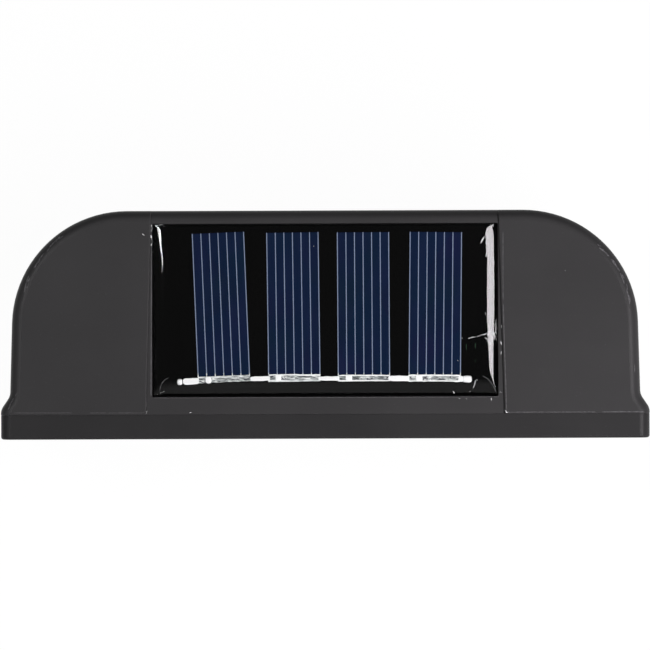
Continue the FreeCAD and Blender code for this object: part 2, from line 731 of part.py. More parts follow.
def switch_marks():
    """A bar for on and a ring for off, sunk beside the knob's two ends."""
    face = -SWITCH_WELL_DEEP
    y0 = face - MARK_DEEP
    half = MARK_LINE / 2
    bar = block(
        MARK_X - half, MARK_X + half, y0, face + 1, SWITCH_Z - MARK_HALF, SWITCH_Z + MARK_HALF
    )
    ring = rod_y(-MARK_X, SWITCH_Z, y0, face + 1, MARK_HALF)
    ring = ring.cut(rod_y(-MARK_X, SWITCH_Z, y0 - 1, face + 2, MARK_HALF - MARK_LINE))
    return [bar, ring]


def stakes(hole_clear, y0, y1):
    return [rod_y(side * STAKE_X, SWITCH_Z, y0, y1, STAKE_R + hole_clear) for side in (-1, 1)]


def back_plate():
    plate = rounded_block(
        -HALF, HALF, PLATE_FRONT, 0, -PLATE_TOP, PLATE_TOP, PLATE_CORNER, Y_AXIS
    )
    rear = edges_where(plate, lambda p: abs(p.y) < 1e-6)
    plate = plate.makeFillet(PLATE_EDGE, rear)
    x = RIM_HALF - LIP_CLEAR
    z0, z1 = RIM_LOW + LIP_CLEAR, CEILING - LIP_CLEAR
    y0 = PLATE_FRONT - LIP_HEIGHT
    lip = block(-x, x, y0, PLATE_FRONT, z0, z1)
    lip = lip.cut(
        block(
            -x + LIP_THICK, x - LIP_THICK, y0 - 1, PLATE_FRONT + 1,
            z0 + LIP_THICK, z1 - LIP_THICK,
        )
    )
    lip = lip.cut(both_sides(keyhole_pocket(CUP_WALL + LIP_CLEAR, y0 - 1, PLATE_FRONT)))
    plate = plate.fuse(lip)
    cuts = both_sides(keyhole_opening())
    cuts += both_sides(keyhole_pocket(0, PLATE_FRONT - 1, -KEYHOLE_LIP))
    cuts += both_sides(screw_hole(BOSS_Z)) + both_sides(screw_hole(-BOSS_Z))
    cuts.append(seal_ring(SEAL_WIDTH + 2 * SEAL_CLEAR, PLATE_FRONT - 1, PLATE_FRONT + SEAL_DEEP))
    frame_x = FRAME_HALF_X + SLIDE_CLEAR
    frame_z = FRAME_HALF_Z + SLIDE_CLEAR
    cuts.append(
        block(-frame_x, frame_x, PLATE_FRONT - 1, FRAME_FACE, SWITCH_Z - frame_z, SWITCH_Z + frame_z)
    )
    cuts += [switch_well(), knob_slot(FRAME_FACE - 1, 1)] + switch_marks()
    plate = plate.cut(cuts)
    head_y = FRAME_FACE - FRAME_METAL
    pins = stakes(0, head_y, FRAME_FACE)
    for side in (-1, 1):
        pins.append(
            rod_y(side * STAKE_X, SWITCH_Z, head_y - STAKE_HEAD_HIGH, head_y, STAKE_HEAD_R)
        )
    return plate.fuse(pins).removeSplitter()


def back_seal():
    return seal_ring(SEAL_WIDTH, PLATE_FRONT, PLATE_FRONT + SEAL_DEEP)


def keyhole_cup():
    cup = keyhole_pocket(CUP_WALL, CUP_FRONT, PLATE_FRONT)
    return cup.cut(keyhole_pocket(0, CUP_FRONT + CUP_WALL, PLATE_FRONT + 1))


def screw(length):
    """Pan-head screw on the Y axis: head's seat at y = 0, shank towards -Y."""
    head = rod_y(0, 0, 0, HEAD_HIGH, HEAD_R)
    head = head.makeFillet(HEAD_HIGH / 2, edges_where(head, lambda p: p.y > HEAD_HIGH - 1e-6))
    half = CROSS_WIDTH / 2
    y0, y1 = HEAD_HIGH - CROSS_DEEP, HEAD_HIGH + 1
    cross = [
        block(-CROSS_HALF, CROSS_HALF, y0, y1, -half, half),
        block(-half, half, y0, y1, -CROSS_HALF, CROSS_HALF),
    ]
    shank = rod_y(0, 0, -length, 0, SCREW_R)
    tip = Part.makeCone(SCREW_R / 2, SCREW_R, SCREW_R, V(0, -length - SCREW_R, 0), Y_AXIS)
    return head.cut(cross).fuse([shank, tip]).removeSplitter()


def back_screws():
    screws = []
    length = SCREW_LONG + PLATE_THICK - HEAD_SINK - SCREW_R - 1
    for z in (BOSS_Z, -BOSS_Z):
        one = screw(length)
        one.translate(V(BOSS_X, -HEAD_SINK, z))
        screws += both_sides(one)
    return screws


# ---------------------------------------------------------------- slide switch
def switch_frame():
    """Bent steel frame: a slotted face with ears, and a side wall above and below."""
    y1 = FRAME_FACE
    y0 = y1 - FRAME_METAL
    z0, z1 = SWITCH_Z - FRAME_HALF_Z, SWITCH_Z + FRAME_HALF_Z
    face = block(-FRAME_HALF_X, FRAME_HALF_X, y0, y1, z0, z1)
    sides = []
    for z in (z0, z1 - FRAME_METAL):
        sides.append(
            block(-FRAME_BODY_HALF_X, FRAME_BODY_HALF_X, y1 - FRAME_SIDE, y1, z, z + FRAME_METAL)
        )
    frame = face.fuse(sides)
    return frame.cut([knob_slot(y0 - 1, y1 + 1)] + stakes(STAKE_CLEAR, y0 - 1, y1 + 1))


def switch_base():
    """Phenolic block that closes the frame, with walls round the slider's carriage."""
    x = FRAME_BODY_HALF_X - FRAME_METAL
    z = FRAME_HALF_Z - FRAME_METAL
    y1 = FRAME_FACE - FRAME_METAL
    body = block(-x, x, SWITCH_BASE_FACE - SWITCH_BASE_DEEP, y1, SWITCH_Z - z, SWITCH_Z + z)
    room_x = CARRIAGE_HALF_X + SWITCH_TRAVEL / 2 + SLIDE_CLEAR
    room_z = CARRIAGE_HALF_Z + CARRIAGE_CLEAR
    room = block(-room_x, room_x, SWITCH_BASE_FACE, y1 + 1, SWITCH_Z - room_z, SWITCH_Z + room_z)
    return body.cut(room)


def switch_terminals():
    y1 = SWITCH_BASE_FACE - SWITCH_BASE_DEEP
    pins = []
    half_x, half_z = TERMINAL_HALF_X, TERMINAL_HALF_Z
    for number in (-1, 0, 1):
        x = number * TERMINAL_PITCH
        pins.append(
            block(
                x - half_x, x + half_x, y1 - TERMINAL_LONG, y1,
                SWITCH_Z - half_z, SWITCH_Z + half_z,
            )
        )
    return pins


def switch_slider():
    x, z = CARRIAGE_HALF_X, CARRIAGE_HALF_Z
    carriage = block(
        -x, x, CARRIAGE_FACE - CARRIAGE_THICK, CARRIAGE_FACE, SWITCH_Z - z, SWITCH_Z + z
    )
    end = -KNOB_SINK
    knob = block(
        -KNOB_HALF_X, KNOB_HALF_X, CARRIAGE_FACE - 0.1, end,
        SWITCH_Z - KNOB_HALF_Z, SWITCH_Z + KNOB_HALF_Z,
    )
    grooves = []
    for number in (-1, 0, 1):
        grooves.append(rod_z(number * KNOB_HALF_X / 2, end, SWITCH_Z - 2, SWITCH_Z + 2, KNOB_RIDGE))
    slider = carriage.fuse(knob.cut(grooves)).removeSplitter()
    slider.translate(V(SWITCH_REST, 0, 0))
    return slider


# ---------------------------------------------------------------- inside
def cradle(x):
    y, z = BATTERY_Y, BATTERY_Z
    reach = BATTERY_R + BATTERY_GAP + CRADLE_WALL
    half = CRADLE_THICK / 2
    body = block(x - half, x + half, y - reach, y + reach, TRAY_TOP, z + CRADLE_ARM)
    return body.cut(rod_x(y, z, x - CRADLE_THICK, x + CRADLE_THICK, BATTERY_R + BATTERY_GAP))


def led_places():
    first = -LED_PITCH * (LED_COUNT - 1) / 2
    return [first + number * LED_PITCH for number in range(LED_COUNT)]


def reflector_tray():
    """White plate under the hood that carries the battery and the circuit board."""
    rear = RIM_FRONT - TRAY_CLEAR
    tray = d_prism(WALL + TRAY_CLEAR, rear, TRAY_Z, TRAY_TOP)
    tray = tray.fuse([cradle(-CRADLE_X), cradle(CRADLE_X)])
    cuts = []
    half_x, half_y = LED_HALF_X + LED_WINDOW, LED_HALF_Y + LED_WINDOW
    for x in led_places():
        cuts.append(
            block(
                x - half_x, x + half_x, CIRCUIT_Y - half_y, CIRCUIT_Y + half_y,
                TRAY_Z - 1, TRAY_TOP + 1,
            )
        )
    cuts += both_sides(rod_z(TRAY_BOSS_X, TRAY_BOSS_Y, TRAY_Z - 1, TRAY_TOP + 1, SCREW_HOLE_R))
    pins = []
    for side in (-1, 1):
        x = side * CIRCUIT_PIN_X
        pins.append(rod_z(x, CIRCUIT_Y, TRAY_TOP, CIRCUIT_TOP, PIN_R))
        pins.append(rod_z(x, CIRCUIT_Y, CIRCUIT_TOP, CIRCUIT_TOP + PIN_HEAD_HIGH, PIN_HEAD_R))
    return tray.cut(cuts).fuse(pins).removeSplitter()


def tray_screws():
    one = screw(TRAY_SCREW_LONG + TRAY_THICK - SCREW_R - 1)
    one.rotate(V(0, 0, 0), X_AXIS, -90)
    one.translate(V(TRAY_BOSS_X, TRAY_BOSS_Y, TRAY_Z))
    return both_sides(one)


def circuit_board():
    board = block(
        -CIRCUIT_LENGTH / 2, CIRCUIT_LENGTH / 2, CIRCUIT_FRONT, CIRCUIT_REAR,
        CIRCUIT_Z, CIRCUIT_TOP,
    )
    hole = rod_z(CIRCUIT_PIN_X, CIRCUIT_Y, CIRCUIT_Z - 1, CIRCUIT_TOP + 1, PIN_R + PIN_CLEAR)
    return board.cut(both_sides(hole))


def leds():
    return [
        block(
            x - LED_HALF_X, x + LED_HALF_X, CIRCUIT_Y - LED_HALF_Y, CIRCUIT_Y + LED_HALF_Y,
            CIRCUIT_Z - LED_HIGH, CIRCUIT_Z,
        )
        for x in led_places()
    ]


def battery_cell():
    """AA cell along X with its button at the +X end."""
    half = BATTERY_LONG / 2
    shoulder = half - BUTTON_HIGH
    can = rod_x(BATTERY_Y, BATTERY_Z, -half, shoulder, BATTERY_R)
    can = can.makeFillet(BATTERY_EDGE, [e for e in can.Edges if len(e.Vertexes) == 1])
    button = rod_x(BATTERY_Y, BATTERY_Z, shoulder - 1, half, BUTTON_R)
    return can.fuse(button).removeSplitter()


def battery_tabs():
    half = BATTERY_LONG / 2
    z0, z1 = BATTERY_Z - TAB_WIDTH / 2, BATTERY_Z + TAB_WIDTH / 2
    tab = block(half, half + TAB_THICK, BATTERY_Y, BATTERY_Y + TAB_REACH, z0, z1)
    return both_sides(tab)


def standing_can(x, y, radius, height):
    """Upright round component on the circuit board with a soft upper edge."""
    top = CIRCUIT_TOP + height
    can = rod_z(x, y, CIRCUIT_TOP, top, radius)
    return can.makeFillet(CAN_EDGE, edges_where(can, lambda p: abs(p.z - top) < 1e-6))


def inductor():
    return standing_can(INDUCTOR_X, CIRCUIT_Y, INDUCTOR_R, INDUCTOR_HIGH)


def capacitor():
    y = CIRCUIT_Y - CAPACITOR_FROM_MIDDLE
    return standing_can(CAPACITOR_X, y, CAPACITOR_R, CAPACITOR_HIGH)


def driver_chip():
    y = CIRCUIT_Y - CHIP_FROM_MIDDLE
    z = CIRCUIT_TOP + CHIP_LIFT
    return block(
        CHIP_X - CHIP_LONG / 2, CHIP_X + CHIP_LONG / 2,
        y - CHIP_WIDE / 2, y + CHIP_WIDE / 2, z, z + CHIP_HIGH,
    )


def chip_leads():
    y = CIRCUIT_Y - CHIP_FROM_MIDDLE
    half = CHIP_LEAD_HALF
    leads = []
    for number in range(CHIP_LEADS):
        x = CHIP_X + (number - (CHIP_LEADS - 1) / 2) * CHIP_LEAD_PITCH
        leads.append(
            block(x - half, x + half, y - half, y + half, CIRCUIT_TOP, CIRCUIT_TOP + CHIP_LIFT)
        )
    return leads


def resistors():
    y = CIRCUIT_Y + RESISTOR_FROM_MIDDLE
    half_x, half_y = RESISTOR_LONG / 2, RESISTOR_WIDE / 2
    return [
        block(x - half_x, x + half_x, y - half_y, y + half_y, CIRCUIT_TOP, CIRCUIT_TOP + RESISTOR_HIGH)
        for x in RESISTOR_PLACES
    ]


# ---------------------------------------------------------------- wires
def wire_path(points):
    """Straight runs joined by tangent arcs, each as large as its two runs allow."""
    points = [V(*p) for p in points]
    edges = []
    radii = []
    start = points[0]
    for before, corner, after in zip(points, points[1:], points[2:]):
        into, out = corner - before, after - corner
        turn = into.getAngle(out)
        reach = ARC_SHARE * min(into.Length, out.Length)
        radii.append(reach / math.tan(turn / 2))
        a = corner - into.normalize() * reach
        b = corner + out.normalize() * reach
        inward = (out - into).normalize()
        sagitta = radii[-1] * (1 / math.cos(turn / 2) - 1)
        edges.append(Part.LineSegment(start, a).toShape())
        edges.append(Part.Arc(a, corner + inward * sagitta, b).toShape())
        start = b
    edges.append(Part.LineSegment(start, points[-1]).toShape())
    return Part.Wire(edges), min(radii)


def wire(name, points):
    path, least = wire_path(points)
    run = V(*points[1]) - V(*points[0])
    ring = Part.Wire(Part.makeCircle(WIRE_R, V(*points[0]), run))
    tube = path.makePipeShell([ring], True, False)
    volume = math.pi * WIRE_R ** 2 * path.Length
    print(f"{name}: length {path.Length:.1f} mm, least radius {least:.1f} mm, "
          f"volume {tube.Volume / volume:.3f} of section times length")
    save(name, tube)


def panel_lead(x, shift):
    y = LEAD_SLOT_Y
    return [
        (x, y, BOARD_Z),
        (x, y, BOARD_Z - 4.7),
        (x - 1.4 * shift, y - 1.3, BOARD_Z - 9.4),
        (x - 0.5 * shift, y - 0.3, CIRCUIT_TOP + 3.5),
        (x - 0.5 * shift, y - 0.3, CIRCUIT_TOP),
    ]


def battery_lead(side):
    x = side * (BATTERY_LONG / 2 + TAB_THICK)
    y, z = BATTERY_Y + TAB_REACH - 1, BATTERY_Z
    return [
        (x, y, z),
        (x + side * 3.0, y, z),
        (x + side * 5.2, y + 2.0, z + 0.4),
        (x + side * 6.4, y + 4.6, z - 0.9),
        (x + side * 6.8, y + 6.6, CIRCUIT_TOP + 2.9),
        (x + side * 6.8, y + 6.6, CIRCUIT_TOP),
    ]


def switch_lead(x, shift):
    y, z = SWITCH_BASE_FACE - SWITCH_BASE_DEEP - TERMINAL_LONG, SWITCH_Z
    return [
        (x, y, z),
        (x, y - 2.5, z),
        (x + 0.3 * shift, y - 5.1, z - 1.4),
        (x + 0.5 * shift, y - 6.2, CIRCUIT_TOP + 2.5),
        (x + 0.5 * shift, y - 6.2, CIRCUIT_TOP),
    ]


# ---------------------------------------------------------------- output
def save(name, *shapes):
    solids = [s for shape in shapes for s in shape.Solids]
    for solid in solids:
        if not solid.isValid() or solid.Volume <= 0:
            raise ValueError(f"{name}: a solid is not valid")
    whole = solids[0] if len(solids) == 1 else Part.makeCompound(solids)
    whole.exportStep(f"parts/{name}.step")
    print(f"{name}: {len(solids)} solid(s), {sum(s.Volume for s in solids):.1f} mm3")


def main():
    os.makedirs("parts", exist_ok=True)
    save("top_housing", top_housing())
    save("panel_pad", panel_pad())
    save("panel_board", panel_board())
    save("solar_cells", *[solar_cell(i) for i in range(len(CELL_CENTRES))])
    save("cell_print", *[cell_print(i) for i in range(len(CELL_CENTRES))])
    save("tab_ribbons", *tab_ribbons())
    save("solder_joints", *solder_joints())
    save("panel_epoxy", panel_epoxy())
    save("diffuser_lens", diffuser_lens())
    save("lens_sealant", lens_sealant())
    save("back_plate", back_plate())
    save("back_seal", back_seal())
    save("keyhole_cups", *both_sides(keyhole_cup()))
    save("back_screws", *back_screws())
    save("switch_frame", switch_frame())
    save("switch_base", switch_base())
    save("switch_terminals", *switch_terminals())
    save("switch_slider", switch_slider())
    save("reflector_tray", reflector_tray())
    save("tray_screws", *tray_screws())
    save("circuit_board", circuit_board())
    save("leds", *leds())
    save("battery_cell", battery_cell())
    save("battery_tabs", *battery_tabs())
    save("inductor", inductor())
    save("capacitor", capacitor())
    save("driver_chip", driver_chip())
    save("chip_leads", *chip_leads())
    save("resistors", *resistors())
    wire("panel_lead_red", panel_lead(LEAD_SLOT_X - LEAD_SPREAD, 1))
    wire("panel_lead_black", panel_lead(LEAD_SLOT_X + LEAD_SPREAD, -1))
    wire("battery_lead_red", battery_lead(1))
    wire("battery_lead_black", battery_lead(-1))
    wire("switch_lead_a", switch_lead(-TERMINAL_PITCH, -1))
    wire("switch_lead_b", switch_lead(0, 1))


main()
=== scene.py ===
import math

import bpy
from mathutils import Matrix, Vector, noise
from mathutils.bvhtree import BVHTree


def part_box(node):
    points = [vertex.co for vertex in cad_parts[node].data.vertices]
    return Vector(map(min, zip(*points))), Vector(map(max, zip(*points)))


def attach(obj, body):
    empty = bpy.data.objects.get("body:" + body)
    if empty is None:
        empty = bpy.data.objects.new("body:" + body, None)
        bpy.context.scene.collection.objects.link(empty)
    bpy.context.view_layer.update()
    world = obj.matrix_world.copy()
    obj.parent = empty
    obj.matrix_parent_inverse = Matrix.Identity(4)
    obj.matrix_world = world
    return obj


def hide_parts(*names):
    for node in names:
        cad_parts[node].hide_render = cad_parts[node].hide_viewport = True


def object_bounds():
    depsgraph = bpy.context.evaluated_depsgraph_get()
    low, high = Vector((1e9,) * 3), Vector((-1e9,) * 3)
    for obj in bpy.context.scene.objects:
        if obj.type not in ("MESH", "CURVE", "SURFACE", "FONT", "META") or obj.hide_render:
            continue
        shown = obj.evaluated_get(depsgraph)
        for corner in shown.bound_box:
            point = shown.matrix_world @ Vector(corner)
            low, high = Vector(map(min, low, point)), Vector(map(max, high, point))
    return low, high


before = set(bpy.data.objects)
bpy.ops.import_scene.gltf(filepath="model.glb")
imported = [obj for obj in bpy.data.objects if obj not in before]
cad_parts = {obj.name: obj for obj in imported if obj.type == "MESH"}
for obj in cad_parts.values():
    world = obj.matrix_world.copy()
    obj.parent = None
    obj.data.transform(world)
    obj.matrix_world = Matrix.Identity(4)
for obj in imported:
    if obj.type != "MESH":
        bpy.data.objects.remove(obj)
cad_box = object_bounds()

MM = 0.001

# ---------------------------------------------------------------- view
CAMERA_HEIGHT = 0.70          # above the top face
VIEW_WIDTH = 0.11987          # what the frame spans at the top face
VIEW_CENTRE_Y = -0.0210
VIEW_ROLL = 0.2               # degrees
SENSOR = 36.0
CLIP = (0.01, 20.0)

# ---------------------------------------------------------------- light
FILL_LEVEL = 0.38             # the world on the wall's side, for diffuse rays
FILL_FRONT = 0.45             # its share on the front side
FILL_SPAN = (-0.45, 0.60)     # direction's Y, from the front level to the wall's
# The world as gloss shows it: (direction's Z, level).
SKY_LEVELS = ((0.0, 1.0), (0.02, 1.0), (0.10, 0.22), (0.30, 0.08), (0.85, 0.055))
WALLWARD_LEVEL = 0.34         # its lighter part, on the wall's side
WALLWARD_SPAN = (0.10, 0.30)  # direction's Y over which that part comes in
POWER_OF_RADIANCE = 4.0       # lamp power for a radiance of 1 over 1 m2
KEY_PLACE = Vector((-0.205, 0.094, 0.290))
KEY_SIZE = (0.320, 0.095)     # along the wall's normal, and across
KEY_RADIANCE = 12.0
KEY_TINT = (1.0, 0.965, 1.0)
SIDE_PLACE = Vector((0.200, -0.087, 0.369))
SIDE_SIZE = (0.100, 0.056)
SIDE_RADIANCE = 20.0
STRIP_SIDE = 0.170            # the two narrow strips over the wall, from the middle
STRIP_BACK = 0.150
STRIP_HEIGHT = 0.380
STRIP_SIZE = (0.018, 0.150)
STRIP_RADIANCE = 3.6

FLOOR_SIZE = 8.0
FLOOR_DROP = 0.00005
FLOOR_TONE = 0.42
FLOOR_SHARE = 0.90            # of the floor's white that comes without light
FLOOR_WHITE = 1.070


# ---------------------------------------------------------------- places from the frame
def low(node):
    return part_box(node)[0]


def high(node):
    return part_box(node)[1]


TOP = high("top_housing").z
BOARD_LOW = low("panel_board")
BOARD_HIGH = high("panel_board")
EPOXY_HIGH = high("panel_epoxy")
CELL_HIGH = high("cell_print")


# ---------------------------------------------------------------- node helpers
class Nodes:
    """A node tree that starts empty, with short names for the nodes it is built from."""

    def __init__(self, owner, output_kind):
        owner.use_nodes = True
        self.tree = owner.node_tree
        self.tree.nodes.clear()
        self.out = self.tree.nodes.new(output_kind)

    def put(self, socket, value):
        if isinstance(value, bpy.types.NodeSocket):
            self.tree.links.new(value, socket)
        elif socket.type == "RGBA" and len(value) == 3:
            socket.default_value = (*value, 1.0)
        else:
            socket.default_value = value

    def node(self, kind, inputs=None, **settings):
        made = self.tree.nodes.new(kind)
        for key, value in settings.items():
            setattr(made, key, value)
        for key, value in (inputs or {}).items():
            self.put(made.inputs[key], value)
        return made

    def math(self, operation, a, b=None):
        inputs = {0: a} if b is None else {0: a, 1: b}
        return self.node("ShaderNodeMath", inputs, operation=operation).outputs[0]

    def span(self, value, a, b, c=0.0, d=1.0, smooth=False):
        """value from a..b mapped to c..d."""
        return self.node(
            "ShaderNodeMapRange",
            {"Value": value, "From Min": a, "From Max": b, "To Min": c, "To Max": d},
            interpolation_type="SMOOTHSTEP" if smooth else "LINEAR",
        ).outputs["Result"]

    def mix(self, share, a, b, blend="MIX"):
        made = self.node("ShaderNodeMix", data_type="RGBA", blend_type=blend)
        for index, value in ((0, share), (6, a), (7, b)):
            self.put(made.inputs[index], value)
        return made.outputs[2]

    def ramp(self, value, *stops):
        made = self.node("ShaderNodeValToRGB", {"Fac": value})
        points = made.color_ramp.elements
        while len(points) < len(stops):
            points.new(1.0)
        for point, (where, colour) in zip(points, stops):
            point.position = where
            point.color = (*colour, 1.0)
        return made.outputs["Color"]

    def split(self, vector):
        return self.node("ShaderNodeSeparateXYZ", {"Vector": vector}).outputs

    def seen_rays(self):
        """1 for camera, glossy and transmission rays, which see the background as it is."""
        path = self.node("ShaderNodeLightPath").outputs
        either = self.math("MAXIMUM", path["Is Camera Ray"], path["Is Glossy Ray"])
        return self.math("MAXIMUM", either, path["Is Transmission Ray"])

    def mix_surface(self, share, a, b):
        """Ends the tree with two shader nodes, a where share is 0 and b where it is 1."""
        both = self.node("ShaderNodeMixShader", {0: share, 1: a.outputs[0], 2: b.outputs[0]})
        self.put(self.out.inputs["Surface"], both.outputs[0])


class Shader(Nodes):
    """One material's nodes, placed by the coordinates of the piece that wears it."""

    def __init__(self, name):
        self.material = bpy.data.materials.new(name)
        super().__init__(self.material, "ShaderNodeOutputMaterial")
        coordinates = self.node("ShaderNodeTexCoord").outputs
        self.place, self.facing = coordinates["Object"], coordinates["Normal"]

    def scaled(self, stretch, turn=(0, 0, 0)):
        return self.node(
            "ShaderNodeMapping",
            {"Vector": self.place, "Scale": stretch, "Rotation": turn},
        ).outputs["Vector"]

    def noise(self, scale, detail=2.0, rough=0.5, at=None, distortion=0.0):
        return self.node(
            "ShaderNodeTexNoise",
            {
                "Vector": at or self.place, "Scale": scale, "Detail": detail,
                "Roughness": rough, "Distortion": distortion,
            },
        ).outputs["Fac"]

    def voronoi(self, scale, at=None, output="Distance"):
        return self.node(
            "ShaderNodeTexVoronoi", {"Vector": at or self.place, "Scale": scale}
        ).outputs[output]

    def xyz(self):
        return self.split(self.place)

    def bump(self, height, distance, strength):
        inputs = {"Height": height, "Distance": distance, "Strength": strength}
        return self.node("ShaderNodeBump", inputs).outputs["Normal"]

    def principled(self, **sockets):
        names = {key.replace("_", " "): value for key, value in sockets.items()}
        shader = self.node("ShaderNodeBsdfPrincipled", names)
        self.put(self.out.inputs["Surface"], shader.outputs[0])
        return self.material


# ---------------------------------------------------------------- materials
FRONT_SHADE_TONE = 0.35              # painted shade: the front wall's share of the top's dark tone


def shell_plastic(name, dark, light, rough=0.40):
    """Moulded black plastic with fine spark-eroded grain; painted shade darkens the front wall."""
    s = Shader(name)
    cloud = s.noise(55.0, 3.0)
    grain = s.noise(3800.0, 3.0, 0.6)
    rub = s.noise(900.0, 2.0, 0.5, at=s.scaled((0.06, 1.0, 1.0), (0, 0, 0.25)))
    tone = s.mix(s.span(cloud, 0.3, 0.7, smooth=True), dark, light)
    specks = s.span(s.noise(2100.0, 1.0), 0.72, 0.80, smooth=True)
    tone = s.mix(s.math("MULTIPLY", specks, 0.10), tone, tuple(3 * c for c in light))
    # Painted shade: faces turned to the front are darkened, since the light falls from the top and the
    # wall's side.
    facing = s.split(s.facing)[1]
    painted_front_shade = s.span(facing, -0.95, -0.25, 0.85, 0.0)
    tone = s.mix(painted_front_shade, tone, tuple(FRONT_SHADE_TONE * c for c in dark))
    gloss = s.span(rub, 0.35, 0.75, rough + 0.015, rough - 0.02)
    normal = s.bump(grain, 0.00001, 0.55)
    return s.principled(
        Base_Color=tone, Roughness=gloss, Normal=normal, Specular_IOR_Level=0.11,
    )


def board_mask():
    """Black solder mask under the epoxy: no air over it, so no gloss of its own."""
    s = Shader("board_mask")
    weave = s.node(
        "ShaderNodeTexWave", {"Vector": s.place, "Scale": 330.0, "Distortion": 0.6},
        bands_direction="DIAGONAL",
    ).outputs["Fac"]
    tone = s.mix(s.noise(90.0, 3.0), (0.0011, 0.0012, 0.0012), (0.0021, 0.0020, 0.0021))
    tone = s.mix(s.math("MULTIPLY", weave, 0.15), tone, (0.0022, 0.0028, 0.0024))
    return s.principled(Base_Color=tone, Roughness=0.6, Specular_IOR_Level=0.0)


def cell_silicon():
    """Blue cells with grains that shade from teal to purple."""
    s = Shader("cell_silicon")
    long_way = s.scaled((1.0, 0.28, 1.0))
    streak = s.noise(420.0, 3.0, 0.55, at=long_way)
    grains = s.voronoi(210.0, at=s.scaled((1.0, 0.5, 1.0)), output="Color")
    pick = s.node("ShaderNodeSeparateColor", {"Color": grains}).outputs[0]
    body = s.ramp(
        s.noise(95.0, 2.0),
        (0.30, (0.0039, 0.0120, 0.0280)),
        (0.50, (0.0043, 0.0096, 0.0315)),
        (0.70, (0.0062, 0.0090, 0.0355)),
    )
    body = s.mix(s.math("MULTIPLY", pick, 0.45), body, (0.0028, 0.0125, 0.0370))
    body = s.mix(s.math("MULTIPLY", s.span(streak, 0.45, 0.8), 0.5), body, (0.0090, 0.0150, 0.0500))
    return s.principled(Base_Color=body, Roughness=0.5, Specular_IOR_Level=0.0)


BUSBAR_MARGIN = 0.6 * MM      # where the busbars' tone starts, in front of the ribbon
BUSBAR_FADE = 0.3 * MM


def silver_paste():
    """Printed silver: bluish on the thin fingers, brighter and scuffed on the busbars."""
    s = Shader("silver_paste")
    y = s.xyz()[1]
    busbar_edge = low("tab_ribbons").y - BUSBAR_MARGIN
    on_busbar = s.span(y, busbar_edge, busbar_edge + BUSBAR_FADE)
    grit = s.noise(5200.0, 2.0)
    scuff = s.noise(1500.0, 3.0, 0.6, at=s.scaled((0.35, 1.6, 1.0)))
    finger = s.mix(grit, (0.148, 0.188, 0.292), (0.220, 0.273, 0.395))
    bar = s.ramp(
        scuff, (0.34, (0.20, 0.22, 0.22)), (0.46, (0.46, 0.49, 0.49)), (0.60, (0.80, 0.82, 0.82)),
    )
    tone = s.mix(on_busbar, finger, bar)
    return s.principled(
        Base_Color=tone, Roughness=0.55, Specular_IOR_Level=0.3,
        Normal=s.bump(grit, 0.00002, 0.4),
    )


def tinned_metal(name, dark=(0.62, 0.63, 0.62), light=(0.93, 0.94, 0.93)):
    """Dip-tinned copper: soft satin with drag lines along its length."""
    s = Shader(name)
    drag = s.noise(1400.0, 3.0, 0.6, at=s.scaled((0.12, 1.0, 1.0)))
    tone = s.mix(s.span(drag, 0.35, 0.62), dark, light)
    return s.principled(
        Base_Color=tone, Metallic=0.12, Roughness=0.42,
        Normal=s.bump(drag, 0.00006, 0.6),
    )


def solder_metal():
    s = Shader("solder_metal")
    skin = s.noise(1100.0, 3.0, 0.55)
    tone = s.mix(skin, (0.93, 0.94, 0.94), (1.0, 1.0, 1.0))
    return s.principled(
        Base_Color=tone, Metallic=0.08, Roughness=0.33,
        Normal=s.bump(skin, 0.00005, 0.5),
    )


def epoxy_clear():
    """Clear cast epoxy: gloss on its outside, and what lies under it shows through."""
    s = Shader("epoxy_clear")
    fresnel = s.node("ShaderNodeFresnel", {"IOR": 1.5}).outputs["Fac"]
    back = s.node("ShaderNodeNewGeometry").outputs["Backfacing"]
    shadow = s.node("ShaderNodeLightPath").outputs["Is Shadow Ray"]
    outside = s.math("SUBTRACT", 1.0, s.math("MAXIMUM", back, shadow))
    ripple = s.noise(260.0, 2.0, 0.5, at=s.scaled((1.0, 0.35, 1.0)))
    gloss = s.node(
        "ShaderNodeBsdfGlossy",
        {"Color": (1.0, 1.0, 1.0), "Roughness": 0.03, "Normal": s.bump(ripple, 0.00012, 0.14)},
    )
    clear = s.node("ShaderNodeBsdfTransparent", {"Color": (0.965, 0.972, 0.968)})
    s.mix_surface(s.math("MULTIPLY", fresnel, outside), clear, gloss)
    return s.material


def frosted_lens():
    """Milky moulded polycarbonate with a fine etched surface."""
    s = Shader("frosted_lens")
    etch = s.noise(2600.0, 3.0, 0.6)
    cloud = s.noise(60.0, 2.0)
    tone = s.mix(cloud, (0.88, 0.895, 0.90), (0.93, 0.94, 0.945))
    return s.principled(
        Base_Color=tone, Roughness=s.span(etch, 0.3, 0.7, 0.36, 0.50), IOR=1.49,
        Transmission_Weight=0.45, Normal=s.bump(etch, 0.00002, 0.5),
    )


def clear_silicone():
    s = Shader("clear_silicone")
    lumps = s.noise(500.0, 2.0)
    tone = s.mix(lumps, (0.72, 0.74, 0.74), (0.84, 0.85, 0.85))
    return s.principled(
        Base_Color=tone, Roughness=0.3, Transmission_Weight=0.5, IOR=1.41,
        Normal=s.bump(lumps, 0.0001, 0.6),
    )


def soft_rubber():
    s = Shader("soft_rubber")
    skin = s.noise(1800.0, 3.0, 0.6)
    tone = s.mix(skin, (0.017, 0.017, 0.018), (0.032, 0.032, 0.033))
    return s.principled(Base_Color=tone, Roughness=0.8, Normal=s.bump(skin, 0.00003, 0.6))


def foam_tape():
    s = Shader("foam_tape")
    cells = s.voronoi(2600.0)
    tone = s.mix(s.span(cells, 0.0, 0.6), (0.42, 0.42, 0.41), (0.68, 0.68, 0.66))
    return s.principled(Base_Color=tone, Roughness=0.92, Normal=s.bump(cells, 0.00008, 0.8))


